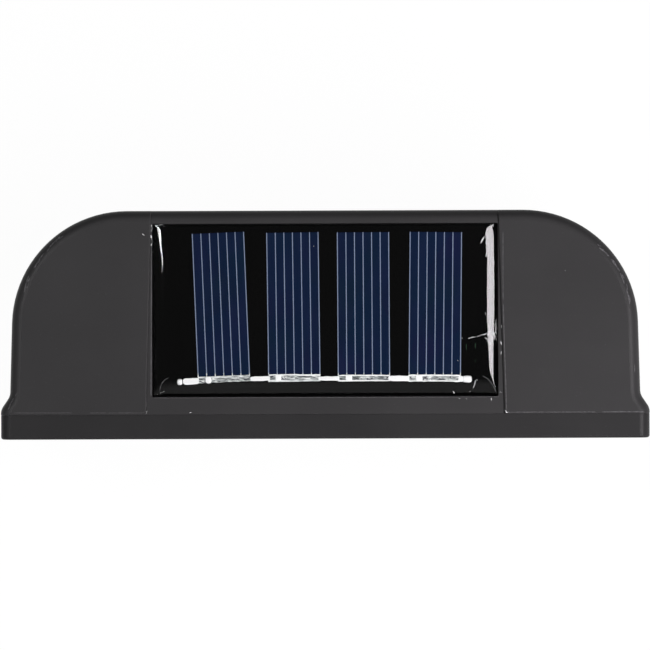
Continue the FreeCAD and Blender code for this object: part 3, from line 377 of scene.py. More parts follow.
def white_plastic():
    """Reflector white with soft flow marks."""
    s = Shader("white_plastic")
    flow = s.noise(130.0, 3.0, 0.5, at=s.scaled((0.4, 1.0, 1.0)), distortion=0.6)
    grain = s.noise(3000.0, 2.0)
    tone = s.mix(s.span(flow, 0.3, 0.7), (0.78, 0.785, 0.77), (0.84, 0.845, 0.835))
    return s.principled(Base_Color=tone, Roughness=0.32, Normal=s.bump(grain, 0.000008, 0.5))


MASK_THICK = 0.03 * MM        # of the solder mask, at the board's faces


def circuit_mask():
    """Green solder mask over copper tracks, with bare edges of glass fibre board."""
    s = Shader("circuit_mask")
    z = s.xyz()[2]
    lanes = s.node(
        "ShaderNodeTexBrick",
        {
            "Vector": s.place, "Color1": (1, 1, 1), "Color2": (0, 0, 0), "Mortar": (0.5, 0.5, 0.5),
            "Scale": 160.0, "Mortar Size": 0.045, "Brick Width": 0.9, "Row Height": 0.24,
        },
        offset=0.37,
    ).outputs["Color"]
    track = s.node("ShaderNodeSeparateColor", {"Color": lanes}).outputs[0]
    mask = s.mix(track, (0.010, 0.115, 0.040), (0.018, 0.190, 0.065))
    mask = s.mix(s.math("MULTIPLY", s.noise(300.0, 2.0), 0.3), mask, (0.008, 0.090, 0.034))
    top, bottom = high("circuit_board").z, low("circuit_board").z
    inner = s.math(
        "MULTIPLY", s.span(z, bottom, bottom + MASK_THICK), s.span(z, top, top - MASK_THICK)
    )
    strands = s.noise(2400.0, 2.0, at=s.scaled((1.0, 1.0, 6.0)))
    fibre = s.mix(strands, (0.36, 0.33, 0.16), (0.50, 0.47, 0.26))
    tone = s.mix(inner, mask, fibre)
    return s.principled(
        Base_Color=tone, Roughness=s.span(inner, 0.0, 1.0, 0.25, 0.8),
        Normal=s.bump(track, 0.00003, 0.6),
    )


LED_LONG = 3.5 * MM
LED_COUNT = 4
LED_SPOT = (1.12 * MM, 1.02 * MM)     # phosphor's radius, where it starts and is full
LED_UNDER = (0.10 * MM, 0.05 * MM)    # how near the lower face it shows, likewise


def led_body():
    """White package with a round of yellow phosphor on its lower face."""
    s = Shader("led_body")
    x, y, z = s.xyz()
    first, last = low("leds").x + LED_LONG / 2, high("leds").x - LED_LONG / 2
    pitch = (last - first) / (LED_COUNT - 1)
    along = s.math("PINGPONG", s.math("SUBTRACT", x, first), pitch / 2)
    across = s.math("SUBTRACT", y, (low("leds").y + high("leds").y) / 2)
    reach = s.math("SQRT", s.math("ADD", s.math("POWER", along, 2.0), s.math("POWER", across, 2.0)))
    under = s.span(z, *[low("leds").z + height for height in LED_UNDER])
    spot = s.math("MULTIPLY", s.span(reach, *LED_SPOT), under)
    tone = s.mix(spot, (0.80, 0.80, 0.77), (0.82, 0.62, 0.10))
    tone = s.mix(s.math("MULTIPLY", s.noise(3000.0), 0.15), tone, (0.70, 0.68, 0.60))
    return s.principled(Base_Color=tone, Roughness=0.35)


def moulded_black():
    s = Shader("moulded_black")
    grain = s.noise(5000.0, 2.0)
    tone = s.mix(grain, (0.014, 0.014, 0.015), (0.030, 0.030, 0.032))
    return s.principled(Base_Color=tone, Roughness=0.5, Normal=s.bump(grain, 0.00001, 0.8))


FERRITE_TOP = (0.30 * MM, 0.20 * MM)  # below its top, where the sleeve ends


def ferrite_sleeve():
    s = Shader("ferrite_sleeve")
    z = s.xyz()[2]
    wraps = s.node(
        "ShaderNodeTexWave", {"Vector": s.place, "Scale": 420.0, "Distortion": 0.3},
        bands_direction="Z",
    ).outputs["Fac"]
    sleeve = s.mix(s.noise(700.0), (0.010, 0.011, 0.010), (0.026, 0.027, 0.025))
    cap = s.span(z, *[high("inductor").z - depth for depth in FERRITE_TOP])
    tone = s.mix(cap, sleeve, (0.055, 0.052, 0.050))
    return s.principled(Base_Color=tone, Roughness=0.38, Normal=s.bump(wraps, 0.00006, 0.3))


CAN_STRIPE = (0.50 * MM, 0.40 * MM)   # in from its side, where the stripe starts
CAN_LID = (0.30 * MM, 0.25 * MM)      # below its top, where the sleeve ends


def capacitor_can():
    """Dark blue sleeve with a pale stripe, and a bare aluminium top."""
    s = Shader("capacitor_can")
    x, _, z = s.xyz()
    side = s.span(x, *[high("capacitor").x - depth for depth in CAN_STRIPE])
    sleeve = s.mix(s.noise(800.0), (0.012, 0.020, 0.062), (0.018, 0.030, 0.085))
    sleeve = s.mix(side, sleeve, (0.55, 0.58, 0.62))
    lid = s.span(z, *[high("capacitor").z - depth for depth in CAN_LID])
    tone = s.mix(lid, sleeve, (0.78, 0.78, 0.79))
    return s.principled(
        Base_Color=tone, Metallic=s.math("MULTIPLY", lid, 0.9), Roughness=0.33,
        Normal=s.bump(s.noise(1200.0), 0.00002, 0.4),
    )


def resistor_body():
    """Black glazed ceramic with a fine grain."""
    s = Shader("resistor_body")
    grain = s.noise(4200.0)
    tone = s.mix(grain, (0.012, 0.012, 0.014), (0.035, 0.035, 0.038))
    return s.principled(Base_Color=tone, Roughness=0.28, Normal=s.bump(grain, 0.00001, 0.5))


# Distances in from the cell's ends, each as (where it starts, where it is full).
BATTERY_BAND = (11.0 * MM, 10.8 * MM)
BUTTON_CAP = (1.3 * MM, 1.2 * MM)
FLAT_CAP = (0.3 * MM, 0.2 * MM)
WRINKLES = (6.0 * MM, 2.0 * MM)


def battery_sleeve():
    """Heat-shrunk sleeve: green, with a pale band at the button end and bare metal caps."""
    s = Shader("battery_sleeve")
    x = s.xyz()[0]
    x0, x1 = low("battery_cell").x, high("battery_cell").x

    def from_button(depths):
        return s.span(x, x1 - depths[0], x1 - depths[1])

    def from_flat(depths):
        return s.span(x, x0 + depths[0], x0 + depths[1])

    band = from_button(BATTERY_BAND)
    body = s.mix(s.noise(240.0, 2.0), (0.018, 0.150, 0.050), (0.026, 0.210, 0.070))
    body = s.mix(band, body, (0.62, 0.64, 0.60))
    caps = s.math("MAXIMUM", from_button(BUTTON_CAP), from_flat(FLAT_CAP))
    tone = s.mix(caps, body, (0.74, 0.73, 0.70))
    ends = s.math("MAXIMUM", from_button(WRINKLES), from_flat(WRINKLES))
    wrinkle = s.math("MULTIPLY", s.noise(700.0, 2.0, at=s.scaled((0.35, 1.0, 1.0))), ends)
    return s.principled(
        Base_Color=tone, Metallic=s.math("MULTIPLY", caps, 0.9), Roughness=0.27,
        Normal=s.bump(wrinkle, 0.0002, 0.6),
    )


def nickel_strip():
    s = Shader("nickel_strip")
    lines = s.noise(2600.0, 2.0, 0.5, at=s.scaled((0.08, 1.0, 1.0)))
    tone = s.mix(lines, (0.55, 0.54, 0.51), (0.72, 0.71, 0.68))
    return s.principled(
        Base_Color=tone, Metallic=1.0, Roughness=s.span(lines, 0.2, 0.8, 0.26, 0.40),
        Normal=s.bump(lines, 0.00001, 0.5),
    )


def phenolic_board():
    s = Shader("phenolic_board")
    fibre = s.noise(1500.0, 3.0, 0.6, at=s.scaled((0.2, 1.0, 1.0)))
    tone = s.mix(fibre, (0.16, 0.062, 0.020), (0.26, 0.115, 0.042))
    return s.principled(Base_Color=tone, Roughness=0.55, Normal=s.bump(fibre, 0.00003, 0.5))


def knob_plastic():
    s = Shader("knob_plastic")
    grain = s.noise(3200.0, 2.0)
    tone = s.mix(s.noise(400.0), (0.020, 0.020, 0.021), (0.032, 0.032, 0.033))
    return s.principled(Base_Color=tone, Roughness=0.42, Normal=s.bump(grain, 0.00001, 0.6))


def screw_steel():
    """Zinc-plated steel, slightly uneven, with a faint yellow passivation."""
    s = Shader("screw_steel")
    turned = s.noise(1900.0, 2.0)
    tone = s.mix(turned, (0.50, 0.50, 0.49), (0.70, 0.695, 0.67))
    return s.principled(
        Base_Color=tone, Metallic=1.0, Roughness=s.span(turned, 0.3, 0.7, 0.28, 0.44),
        Normal=s.bump(turned, 0.00002, 0.4),
    )


def wire_cover(name, dark, light):
    s = Shader(name)
    skin = s.noise(900.0, 2.0)
    tone = s.mix(skin, dark, light)
    return s.principled(Base_Color=tone, Roughness=0.4, Normal=s.bump(skin, 0.00003, 0.5))


def scuffed_metal():
    """Ribbon over the cells: dulled by flux, with dark drag marks."""
    s = Shader("scuffed_ribbon")
    drag = s.noise(2300.0, 3.0, 0.62, at=s.scaled((0.30, 1.2, 1.0)), distortion=0.5)
    marks = s.noise(1500.0, 2.0, 0.55, at=s.scaled((0.7, 1.3, 1.0)), distortion=0.8)
    tone = s.ramp(
        drag, (0.37, (0.06, 0.07, 0.07)), (0.44, (0.22, 0.24, 0.24)), (0.53, (0.40, 0.43, 0.42)),
        (0.62, (0.80, 0.82, 0.80)),
    )
    tone = s.mix(s.span(marks, 0.56, 0.62, smooth=True), tone, (0.045, 0.045, 0.055))
    return s.principled(
        Base_Color=tone, Metallic=0.2, Roughness=0.5, Normal=s.bump(drag, 0.00003, 0.5),
    )


def mark_material(name, dark, light):
    s = Shader(name)
    tone = s.mix(s.span(s.noise(2600.0, 2.0), 0.35, 0.65), dark, light)
    return s.principled(Base_Color=tone, Roughness=0.8, Specular_IOR_Level=0.2)


# ---------------------------------------------------------------- dressing the CAD nodes
def dress(material, *nodes):
    for name in nodes:
        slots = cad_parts[name].material_slots
        for index in range(len(slots)):
            slots[index].material = material


def dress_nodes():
    hood = shell_plastic("hood_plastic", (0.0335, 0.0329, 0.0336), (0.0370, 0.0363, 0.0371))
    dress(hood, "top_housing")
    plate = shell_plastic(
        "plate_plastic", (0.0238, 0.0234, 0.0239), (0.0266, 0.0261, 0.0267), 0.38
    )
    dress(plate, "back_plate", "keyhole_cups")
    dress(board_mask(), "panel_board")
    dress(cell_silicon(), "solar_cells")
    dress(silver_paste(), "cell_print")
    dress(frosted_lens(), "diffuser_lens")
    dress(clear_silicone(), "lens_sealant")
    dress(soft_rubber(), "back_seal")
    dress(foam_tape(), "panel_pad")
    dress(white_plastic(), "reflector_tray")
    dress(circuit_mask(), "circuit_board")
    dress(led_body(), "leds")
    dress(moulded_black(), "driver_chip")
    dress(ferrite_sleeve(), "inductor")
    dress(capacitor_can(), "capacitor")
    dress(resistor_body(), "resistors")
    dress(battery_sleeve(), "battery_cell")
    dress(nickel_strip(), "battery_tabs", "switch_frame")
    dress(phenolic_board(), "switch_base")
    dress(knob_plastic(), "switch_slider")
    dress(screw_steel(), "back_screws", "tray_screws")
    dress(tinned_metal("tinned_pins"), "chip_leads", "switch_terminals")
    red = wire_cover("red_cover", (0.42, 0.012, 0.010), (0.52, 0.022, 0.018))
    dress(red, "panel_lead_red", "battery_lead_red")
    black = wire_cover("black_cover", (0.012, 0.012, 0.013), (0.024, 0.024, 0.025))
    dress(black, "panel_lead_black", "battery_lead_black")
    white = wire_cover("white_cover", (0.66, 0.66, 0.64), (0.78, 0.78, 0.76))
    dress(white, "switch_lead_a", "switch_lead_b")


# ---------------------------------------------------------------- mesh helpers
def add_mesh(name, verts, faces, material, slot):
    mesh = bpy.data.meshes.new(name)
    mesh.from_pydata([tuple(v) for v in verts], [], faces)
    mesh.validate()
    for face in mesh.polygons:
        face.use_smooth = True
    mesh.materials.append(material)
    piece = bpy.data.objects.new(name, mesh)
    bpy.context.scene.collection.objects.link(piece)
    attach(piece, "light")
    return piece


# ---------------------------------------------------------------- epoxy dome
DOME_CORNER = 0.5 * MM
DOME_CORNER_GROWTH = 1.8      # how much rounder the dome's corners get inwards
DOME_CORNER_POINTS = 16
DOME_SPACING = 0.5 * MM
DOME_MARGIN = 0.12 * MM       # dome's foot beyond the board
DOME_ROLL = 0.16 * MM         # the foot's own small rounding
DOME_ROLL_SLOPE = 1.2
DOME_FOOT = 0.03 * MM         # the foot's least height

# Distances in from the dome's foot at which it has a ring of points, in mm.
DOME_INSETS = (
    (0.0, 0.04, 0.09, 0.15, 0.22, 0.3, 0.4, 0.5, 0.65, 0.8, 0.95, 1.1, 1.25, 1.4)
    + tuple(1.55 + 0.16 * i for i in range(14))
    + (4.0, 4.6, 5.6, 7.0, 9.0, 11.5, 13.5)
)

# Border of the dome, as (slope at its foot, mm over which it levels out): on the
# -X side at the front, middle and rear, then the +X side, wall side and front side.
BORDER_MINUS_X = ((0.385, 4.9), (0.425, 3.6), (0.47, 2.3))
BORDER_PLUS_X = (0.50, 3.2)
BORDER_WALL = (0.46, 3.4)
BORDER_FRONT = (0.50, 2.2)


def dome_outline():
    """Centre line facts of the dome's foot: half sizes and middle."""
    half_x = BOARD_HIGH.x + DOME_MARGIN
    y0 = BOARD_LOW.y - DOME_MARGIN
    y1 = BOARD_HIGH.y + DOME_MARGIN
    return half_x, (y1 - y0) / 2, (y0 + y1) / 2


def dome_loop(inset):
    """Points of the rounded rectangle moved in by inset, with the direction outward."""
    half_x, half_y, middle = dome_outline()
    hx, hy = half_x - inset, half_y - inset
    radius = min(DOME_CORNER + DOME_CORNER_GROWTH * inset, hy - 0.2 * MM)
    straight_x, straight_y = half_x - DOME_CORNER, half_y - DOME_CORNER
    count_x = max(int(2 * straight_x / DOME_SPACING), 2)
    count_y = max(int(2 * straight_y / DOME_SPACING), 2)
    points = []
    corners = [(1, 1), (-1, 1), (-1, -1), (1, -1)]
    counts = [count_x, count_y, count_x, count_y]
    for index, ((sx, sy), count) in enumerate(zip(corners, counts)):
        start = 90 * index
        cx, cy = sx * (hx - radius), sy * (hy - radius)
        for step in range(DOME_CORNER_POINTS + 1):
            a = math.radians(start + 90 * step / DOME_CORNER_POINTS)
            points.append((cx + radius * math.cos(a), middle + cy + radius * math.sin(a), a))
        nx, ny = corners[(index + 1) % 4]
        ex, ey = nx * (hx - radius), ny * (hy - radius)
        a = math.radians(start + 90)
        x0, y0 = cx + radius * math.cos(a), cy + radius * math.sin(a)
        x1, y1 = ex + radius * math.cos(a), ey + radius * math.sin(a)
        for step in range(1, count):
            t = step / count
            points.append((x0 + (x1 - x0) * t, middle + y0 + (y1 - y0) * t, a))
    return points


def blend_border(parts):
    """Weighted mean of (weight, (slope, length)) pairs."""
    whole = sum(weight for weight, border in parts)
    return [sum(weight * border[i] for weight, border in parts) / whole for i in (0, 1)]


def dome_border(y, angle):
    """Slope at the foot, and how far in it levels out, at a place on the outline."""
    _, half_y, middle = dome_outline()
    v = min(max((y - middle) / half_y, -1.0), 1.0)
    front, centre, rear = BORDER_MINUS_X
    minus_x = blend_border(
        [(max(-v, 0.0), front), (1 - abs(v), centre), (max(v, 0.0), rear)]
    )
    across, along = math.cos(angle), math.sin(angle)
    slope, length = blend_border([
        (max(-across, 0.0) ** 2, minus_x), (max(across, 0.0) ** 2, BORDER_PLUS_X),
        (max(along, 0.0) ** 2, BORDER_WALL), (max(-along, 0.0) ** 2, BORDER_FRONT),
    ])
    return slope, length * MM


def dome_drop(inset, slope, length):
    """How far the dome is below its flat middle, inset from its foot."""
    left = max(1 - inset / length, 0.0)
    roll = max(1 - inset / DOME_ROLL, 0.0)
    return slope * length / 2 * left ** 2 + DOME_ROLL_SLOPE * DOME_ROLL / 3 * roll ** 3


def epoxy_dome(material):
    top = EPOXY_HIGH.z
    foot_z = BOARD_HIGH.z
    verts, faces = [], []
    foot = dome_loop(0.0)
    count = len(foot)
    verts += [(x, y, foot_z) for x, y, _ in foot]
    for inset in [distance * MM for distance in DOME_INSETS]:
        for (x, y, _), (_, foot_y, foot_angle) in zip(dome_loop(inset), foot):
            z = top - dome_drop(inset, *dome_border(foot_y, foot_angle))
            verts.append((x, y, max(z, foot_z + DOME_FOOT)))
    for ring in range(len(DOME_INSETS)):
        for i in range(count):
            j = (i + 1) % count
            a, b = ring * count, (ring + 1) * count
            faces.append((a + i, a + j, b + j, b + i))
    last = len(DOME_INSETS) * count
    faces.append(tuple(range(last, last + count)))
    piece = add_mesh("epoxy_dome", verts, faces, material, "clear_epoxy")
    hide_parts("panel_epoxy")
    return piece


# ---------------------------------------------------------------- ribbon and solder
RIBBON_RISE = 0.07 * MM       # ribbon's top above the print
SCUFFED_RISE = 0.05 * MM
RIBBON_STEP = 0.12 * MM       # along its length
RIBBON_WANDER = 0.04 * MM     # how far its edges stray
RIBBON_ENDS = (0.72, 0.93, 1.0)  # share of its width at the end, next to it and further on
SOLDER_POINTS = 28            # round each ring of a solder joint
SOLDER_RINGS = 7
SOLDER_SQUARE = 3.2           # 2 would make it round
SOLDER_LUMPS = 0.13           # how uneven its outline is
# Ribbon between and beyond the cells: x, y and half width in mm.
BRIGHT_RIBBONS = (
    ((26.29, -10.63, 0.41), (25.92, -10.65, 0.59), (24.81, -10.66, 0.61), (23.33, -10.73, 0.54)),
    ((13.81, -11.08, 0.35), (12.79, -11.10, 0.43), (11.50, -11.13, 0.44), (10.20, -11.20, 0.43)),
    ((1.24, -11.13, 0.33), (0.40, -11.11, 0.39), (-1.07, -11.11, 0.41), (-2.65, -11.12, 0.41)),
    ((-11.70, -11.11, 0.41), (-12.35, -11.09, 0.50), (-13.83, -11.08, 0.52), (-15.59, -11.07, 0.48)),
    ((-24.64, -11.02, 0.44), (-25.11, -10.97, 0.54), (-25.57, -10.95, 0.55)),
)
# Solder that has run along the busbars' edges, in the same way.
SOLDER_RUNS = (
    ((10.38, -11.77, 0.13), (5.58, -11.81, 0.12), (0.86, -11.78, 0.13)),
    ((-2.56, -11.66, 0.11), (-7.36, -11.68, 0.11), (-11.89, -11.64, 0.11)),
    ((-2.55, -10.69, 0.11), (-7.36, -10.71, 0.11), (-11.89, -10.68, 0.11)),
    ((-15.40, -11.67, 0.11), (-20.30, -11.67, 0.11), (-25.02, -11.60, 0.11)),
    ((-15.40, -10.59, 0.11), (-20.30, -10.61, 0.11), (-25.01, -10.52, 0.11)),
)
# Ribbon over the cells, in the same way.
SCUFFED_RIBBONS = (
    ((23.51, -10.73, 0.48), (20.93, -10.83, 0.44), (17.60, -10.95, 0.41), (13.53, -11.08, 0.37)),
    ((10.39, -11.22, 0.37), (7.43, -11.28, 0.35), (4.66, -11.29, 0.33), (0.96, -11.21, 0.33)),
    ((-2.46, -11.16, 0.35), (-5.51, -11.18, 0.35), (-8.65, -11.15, 0.35), (-11.98, -11.12, 0.37)),
    ((-15.40, -11.09, 0.41), (-18.45, -11.10, 0.39), (-21.22, -11.07, 0.37), (-24.92, -11.02, 0.41)),
)
# Solder joints: x, y, half length and half width in mm, and whether it sits on the board.
SOLDER_SPOTS = (
    (26.90, -10.56, 0.50, 0.57, True),
    (21.59, -10.91, 0.59, 0.63, False),
    (8.65, -11.29, 0.57, 0.63, False),
    (-4.38, -11.21, 0.63, 0.61, False),
    (-17.38, -11.14, 0.65, 0.63, False),
    (-26.25, -10.94, 0.92, 0.63, True),
)


def along(points, step):
    """Points about one step apart on the line through the given ones."""
    places = []
    for a, b in zip(points, points[1:]):
        a, b = Vector(a), Vector(b)
        count = max(int((b - a).length / step), 1)
        places += [a.lerp(b, i / count) for i in range(count)]
    return places + [Vector(points[-1])]


def strip_mesh(rings):
    """Faces over rows of equally many points, as (verts, faces)."""
    verts = [v for ring in rings for v in ring]
    across = len(rings[0])
    faces = []
    for row in range(len(rings) - 1):
        for i in range(across - 1):
            a = row * across + i
            faces.append((a, a + 1, a + across + 1, a + across))
    return verts, faces


def join(parts):
    verts, faces = [], []
    for part_verts, part_faces in parts:
        start = len(verts)
        verts += part_verts
        faces += [[start + i for i in face] for face in part_faces]
    return verts, faces


def ribbon_strip(course, bottom, top):
    """A flat strip with softly crowned top, slightly uneven edges and blunt ends."""
    places = along([[v * MM for v in point] for point in course], RIBBON_STEP)
    rings = []
    for index, (x, y, half) in enumerate(places):
        end = min(index, len(places) - 1 - index)
        half *= RIBBON_ENDS[min(end, 2)]
        stray = RIBBON_WANDER * noise.noise(Vector((x * 900, y * 900, 1.0)))
        wide = RIBBON_WANDER * noise.noise(Vector((x * 1300, 5.0, y * 1300)))
        lift = 0.2 * (top - bottom) * noise.noise(Vector((7.0, x * 700, y * 700)))
        section = ((-1, bottom), (-0.96, top - 0.3 * (top - bottom)), (-0.8, top), (0, top + lift))
        section += tuple((-u, z) for u, z in reversed(section[:3]))
        rings.append([(x, y + stray + u * (half + wide), z) for u, z in section])
    verts, faces = strip_mesh(rings)
    across, last = len(rings[0]), (len(rings) - 1) * len(rings[0])
    faces.append(tuple(range(across)))
    faces.append(tuple(range(last + across - 1, last - 1, -1)))
    return verts, faces


def solder_spot(x, y, half_x, half_y, bottom, top):
    """A squarish pillow of solder."""
    count, rings = SOLDER_POINTS, SOLDER_RINGS
    verts, faces = [], []
    for ring in range(rings):
        out = 1 - (ring / rings) ** 1.6
        z = bottom + (top - bottom) * (1 - out ** 3) ** 0.5
        for i in range(count):
            angle = 2 * math.pi * i / count
            c, s = math.cos(angle), math.sin(angle)
            square = (abs(c) ** SOLDER_SQUARE + abs(s) ** SOLDER_SQUARE) ** (-1 / SOLDER_SQUARE)
            lump = 1 + SOLDER_LUMPS * noise.noise(Vector((x * 4000 + 1.3 * c, y * 4000 + 1.3 * s, 2.0)))
            reach = out * square * lump
            verts.append((x + half_x * reach * c, y + half_y * reach * s, z))
    verts.append((x, y, top))
    for ring in range(rings - 1):
        for i in range(count):
            j = (i + 1) % count
            a, b = ring * count, (ring + 1) * count
            faces.append((a + i, a + j, b + j, b + i))
    start = (rings - 1) * count
    faces += [(start + i, start + (i + 1) % count, len(verts) - 1) for i in range(count)]
    faces.append(tuple(range(count - 1, -1, -1)))
    return verts, faces


def add_ribbons():
    bright = tinned_metal("tinned_ribbon", (0.92, 0.93, 0.92), (1.0, 1.0, 1.0))
    base = CELL_HIGH.z
    parts = [ribbon_strip(course, base, base + RIBBON_RISE) for course in BRIGHT_RIBBONS]
    parts += [ribbon_strip(course, base, base + SCUFFED_RISE) for course in SOLDER_RUNS]
    piece = add_mesh("ribbon_bright", *join(parts), bright, "tinned_ribbon")
    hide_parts("tab_ribbons")
    parts = [ribbon_strip(course, base, base + SCUFFED_RISE) for course in SCUFFED_RIBBONS]
    piece = add_mesh("ribbon_scuffed", *join(parts), scuffed_metal(), "tinned_ribbon")
    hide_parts("tab_ribbons")


def add_solder():
    top = high("solder_joints").z
    parts = []
    for x, y, half_x, half_y, on_board in SOLDER_SPOTS:
        bottom = BOARD_HIGH.z if on_board else CELL_HIGH.z
        parts.append(solder_spot(x * MM, y * MM, half_x * MM, half_y * MM, bottom, top))
    piece = add_mesh("solder_spots", *join(parts), solder_metal(), "solder")
    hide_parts("solder_joints")


# ---------------------------------------------------------------- dust, nicks, painted highlights and painted reflections
# Each mark is (width, places), in mm, laid on the surface below it.
MARK_LIFT = 0.004 * MM
MARK_STEP = 0.25 * MM
MARK_TAPER = 0.35             # width at both ends
MARK_RIDGE = 0.3              # height over half its width
MARK_WAVER = 0.5
# Lint and scratches on the dome, and one painted highlight where the dome's front corner catches the
# light.
DUST_AND_GLINT_ON_EPOXY = (
    (0.10, ((-30.39, -22.09), (-30.85, -21.45), (-30.66, -20.80))),
    (0.10, ((-30.94, -19.14), (-31.58, -18.77), (-32.32, -18.89))),
    (0.09, ((-29.82, -17.85), (-30.38, -18.12))),
    (0.09, ((-31.13, -20.71), (-32.05, -21.35))),
    (0.16, ((-28.80, -36.01), (-29.11, -36.64), (-29.50, -37.26))),
    (0.14, ((-29.92, -18.96), (-30.29, -19.60), (-30.75, -19.69))),
    (0.16, ((-30.66, -19.69), (-31.12, -19.32), (-31.68, -19.60))),
    (0.14, ((-31.68, -19.69), (-32.14, -19.50), (-32.41, -19.13))),
    (0.12, ((-30.57, -20.43), (-30.94, -19.88), (-31.30, -18.86), (-31.21, -18.12))),
    (0.12, ((-31.67, -22.00), (-31.52, -21.07), (-31.77, -20.33), (-31.40, -19.41), (-30.75, -18.49))),
    (0.12, ((-32.18, -21.07), (-31.94, -20.24), (-32.19, -19.23))),
    (0.10, ((-31.95, -18.86), (-32.24, -17.93))),
    (0.10, ((-29.60, -23.21), (-29.82, -22.71))),
    (0.09, ((-29.86, -21.82), (-30.22, -21.08), (-30.07, -20.34))),
    (0.11, ((-28.81, -19.14), (-29.37, -19.09), (-29.83, -19.42))),
    (0.10, ((-29.47, -18.59), (-30.03, -18.22), (-30.21, -17.48))),
    (0.08, ((-30.47, -17.94), (-30.58, -16.92))),
    (0.09, ((-26.41, -18.40), (-27.15, -18.65), (-27.89, -18.72))),
    (0.07, ((-28.07, -18.76), (-28.81, -19.02))),
    (0.13, ((-25.21, -18.53), (-25.39, -18.44))),
    (0.13, ((-24.36, -14.39), (-24.55, -14.30))),
    (0.12, ((2.17, -35.60), (1.98, -35.56))),
    (0.11, ((-27.93, -10.83), (-28.14, -10.65))),
    (0.09, ((-27.71, -10.74), (-27.63, -10.00), (-27.30, -9.23))),
    (0.20, ((-23.60, -8.69), (-23.90, -8.28))),
    (0.11, ((-26.63, -8.71), (-26.84, -8.60))),
    # Painted highlight: the light caught on the dome's corner at the front.
    (0.13, ((30.71, -39.32), (30.38, -39.60), (29.68, -39.71))),
)
# Fine greenish fibres on the dome.
FIBRES_ON_EPOXY = (
    (0.08, ((-26.07, -17.44), (-26.03, -16.85), (-26.12, -16.33))),
    (0.08, ((-27.77, -17.54), (-27.70, -16.99), (-27.79, -16.54))),
    (0.06, ((-27.69, -14.51), (-27.74, -13.96))),
)
# Painted reflections: thin lighter arcs round the dome's two corners at the wall side, where the lamps
# over the wall show.
PAINTED_CORNER_REFLECTIONS = (
    (0.10, ((-29.05, -11.52), (-29.98, -11.00), (-30.71, -10.18), (-31.26, -9.26), (-31.57, -8.41))),
    (0.10, ((28.84, -11.35), (29.58, -11.02), (30.14, -10.39), (30.46, -9.56), (30.59, -8.83))),
)
# Bright nicks and specks on the hood.
NICKS_ON_HOOD = (
    (0.22, ((31.98, -39.65), (31.93, -39.01), (32.00, -38.36))),
    (0.22, ((32.06, -37.72), (31.95, -36.98), (31.94, -36.42), (32.01, -35.69))),
    (0.10, ((33.70, -38.00), (33.24, -37.63))),
    (0.12, ((31.89, -34.86), (31.87, -34.49))),
    (0.12, ((32.97, -5.25), (32.93, -4.84))),
    (0.12, ((25.04, -4.89), (24.69, -5.00))),
    (0.12, ((-24.58, -7.41), (-24.86, -7.33))),
    (0.12, ((-25.93, -7.33), (-26.15, -7.27))),
    (0.12, ((-30.62, -7.50), (-30.69, -6.95))),
    (0.12, ((-33.14, -5.29), (-33.45, -4.76), (-33.80, -4.79))),
    (0.10, ((-44.24, -30.92), (-44.39, -30.84))),
    (0.12, ((-31.94, -26.05), (-32.01, -25.69))),
    (0.12, ((-32.54, -20.89), (-32.58, -20.33))),
    (0.12, ((-32.39, -17.94), (-32.57, -17.20))),
    (0.12, ((-32.53, -16.09), (-32.45, -15.44))),
    (0.12, ((-32.17, -8.56), (-32.54, -8.41))),
)
# Painted highlights: thin lighter lines along the hood's edges, where they catch the light.
PAINTED_EDGE_HIGHLIGHTS = (
    (0.20, ((31.97, -35.50), (32.02, -25.72), (32.10, -16.50), (32.17, -8.01))),
    (0.10, ((31.60, -7.66), (15.73, -7.64), (-0.88, -7.64), (-17.48, -7.64), (-32.06, -7.64))),
    (0.13, ((-32.88, -38.04), (-32.86, -32.51), (-32.87, -25.50))),
    (0.15, ((-32.89, -24.76), (-33.05, -18.12), (-33.23, -12.21), (-33.35, -8.52), (-33.41, -5.02))),
    (0.14, ((-33.71, -4.81), (-40.53, -4.81), (-48.83, -4.80), (-49.94, -4.79))),
    (0.17, ((-51.05, -4.81), (-55.29, -4.81), (-58.80, -4.82))),
    (0.08, ((57.43, -4.98), (50.79, -4.96), (46.73, -4.95))),
    (0.08, ((43.41, -4.93), (37.88, -4.92), (33.45, -4.90))),
    (0.10, ((33.02, -7.65), (33.00, -5.99))),
)
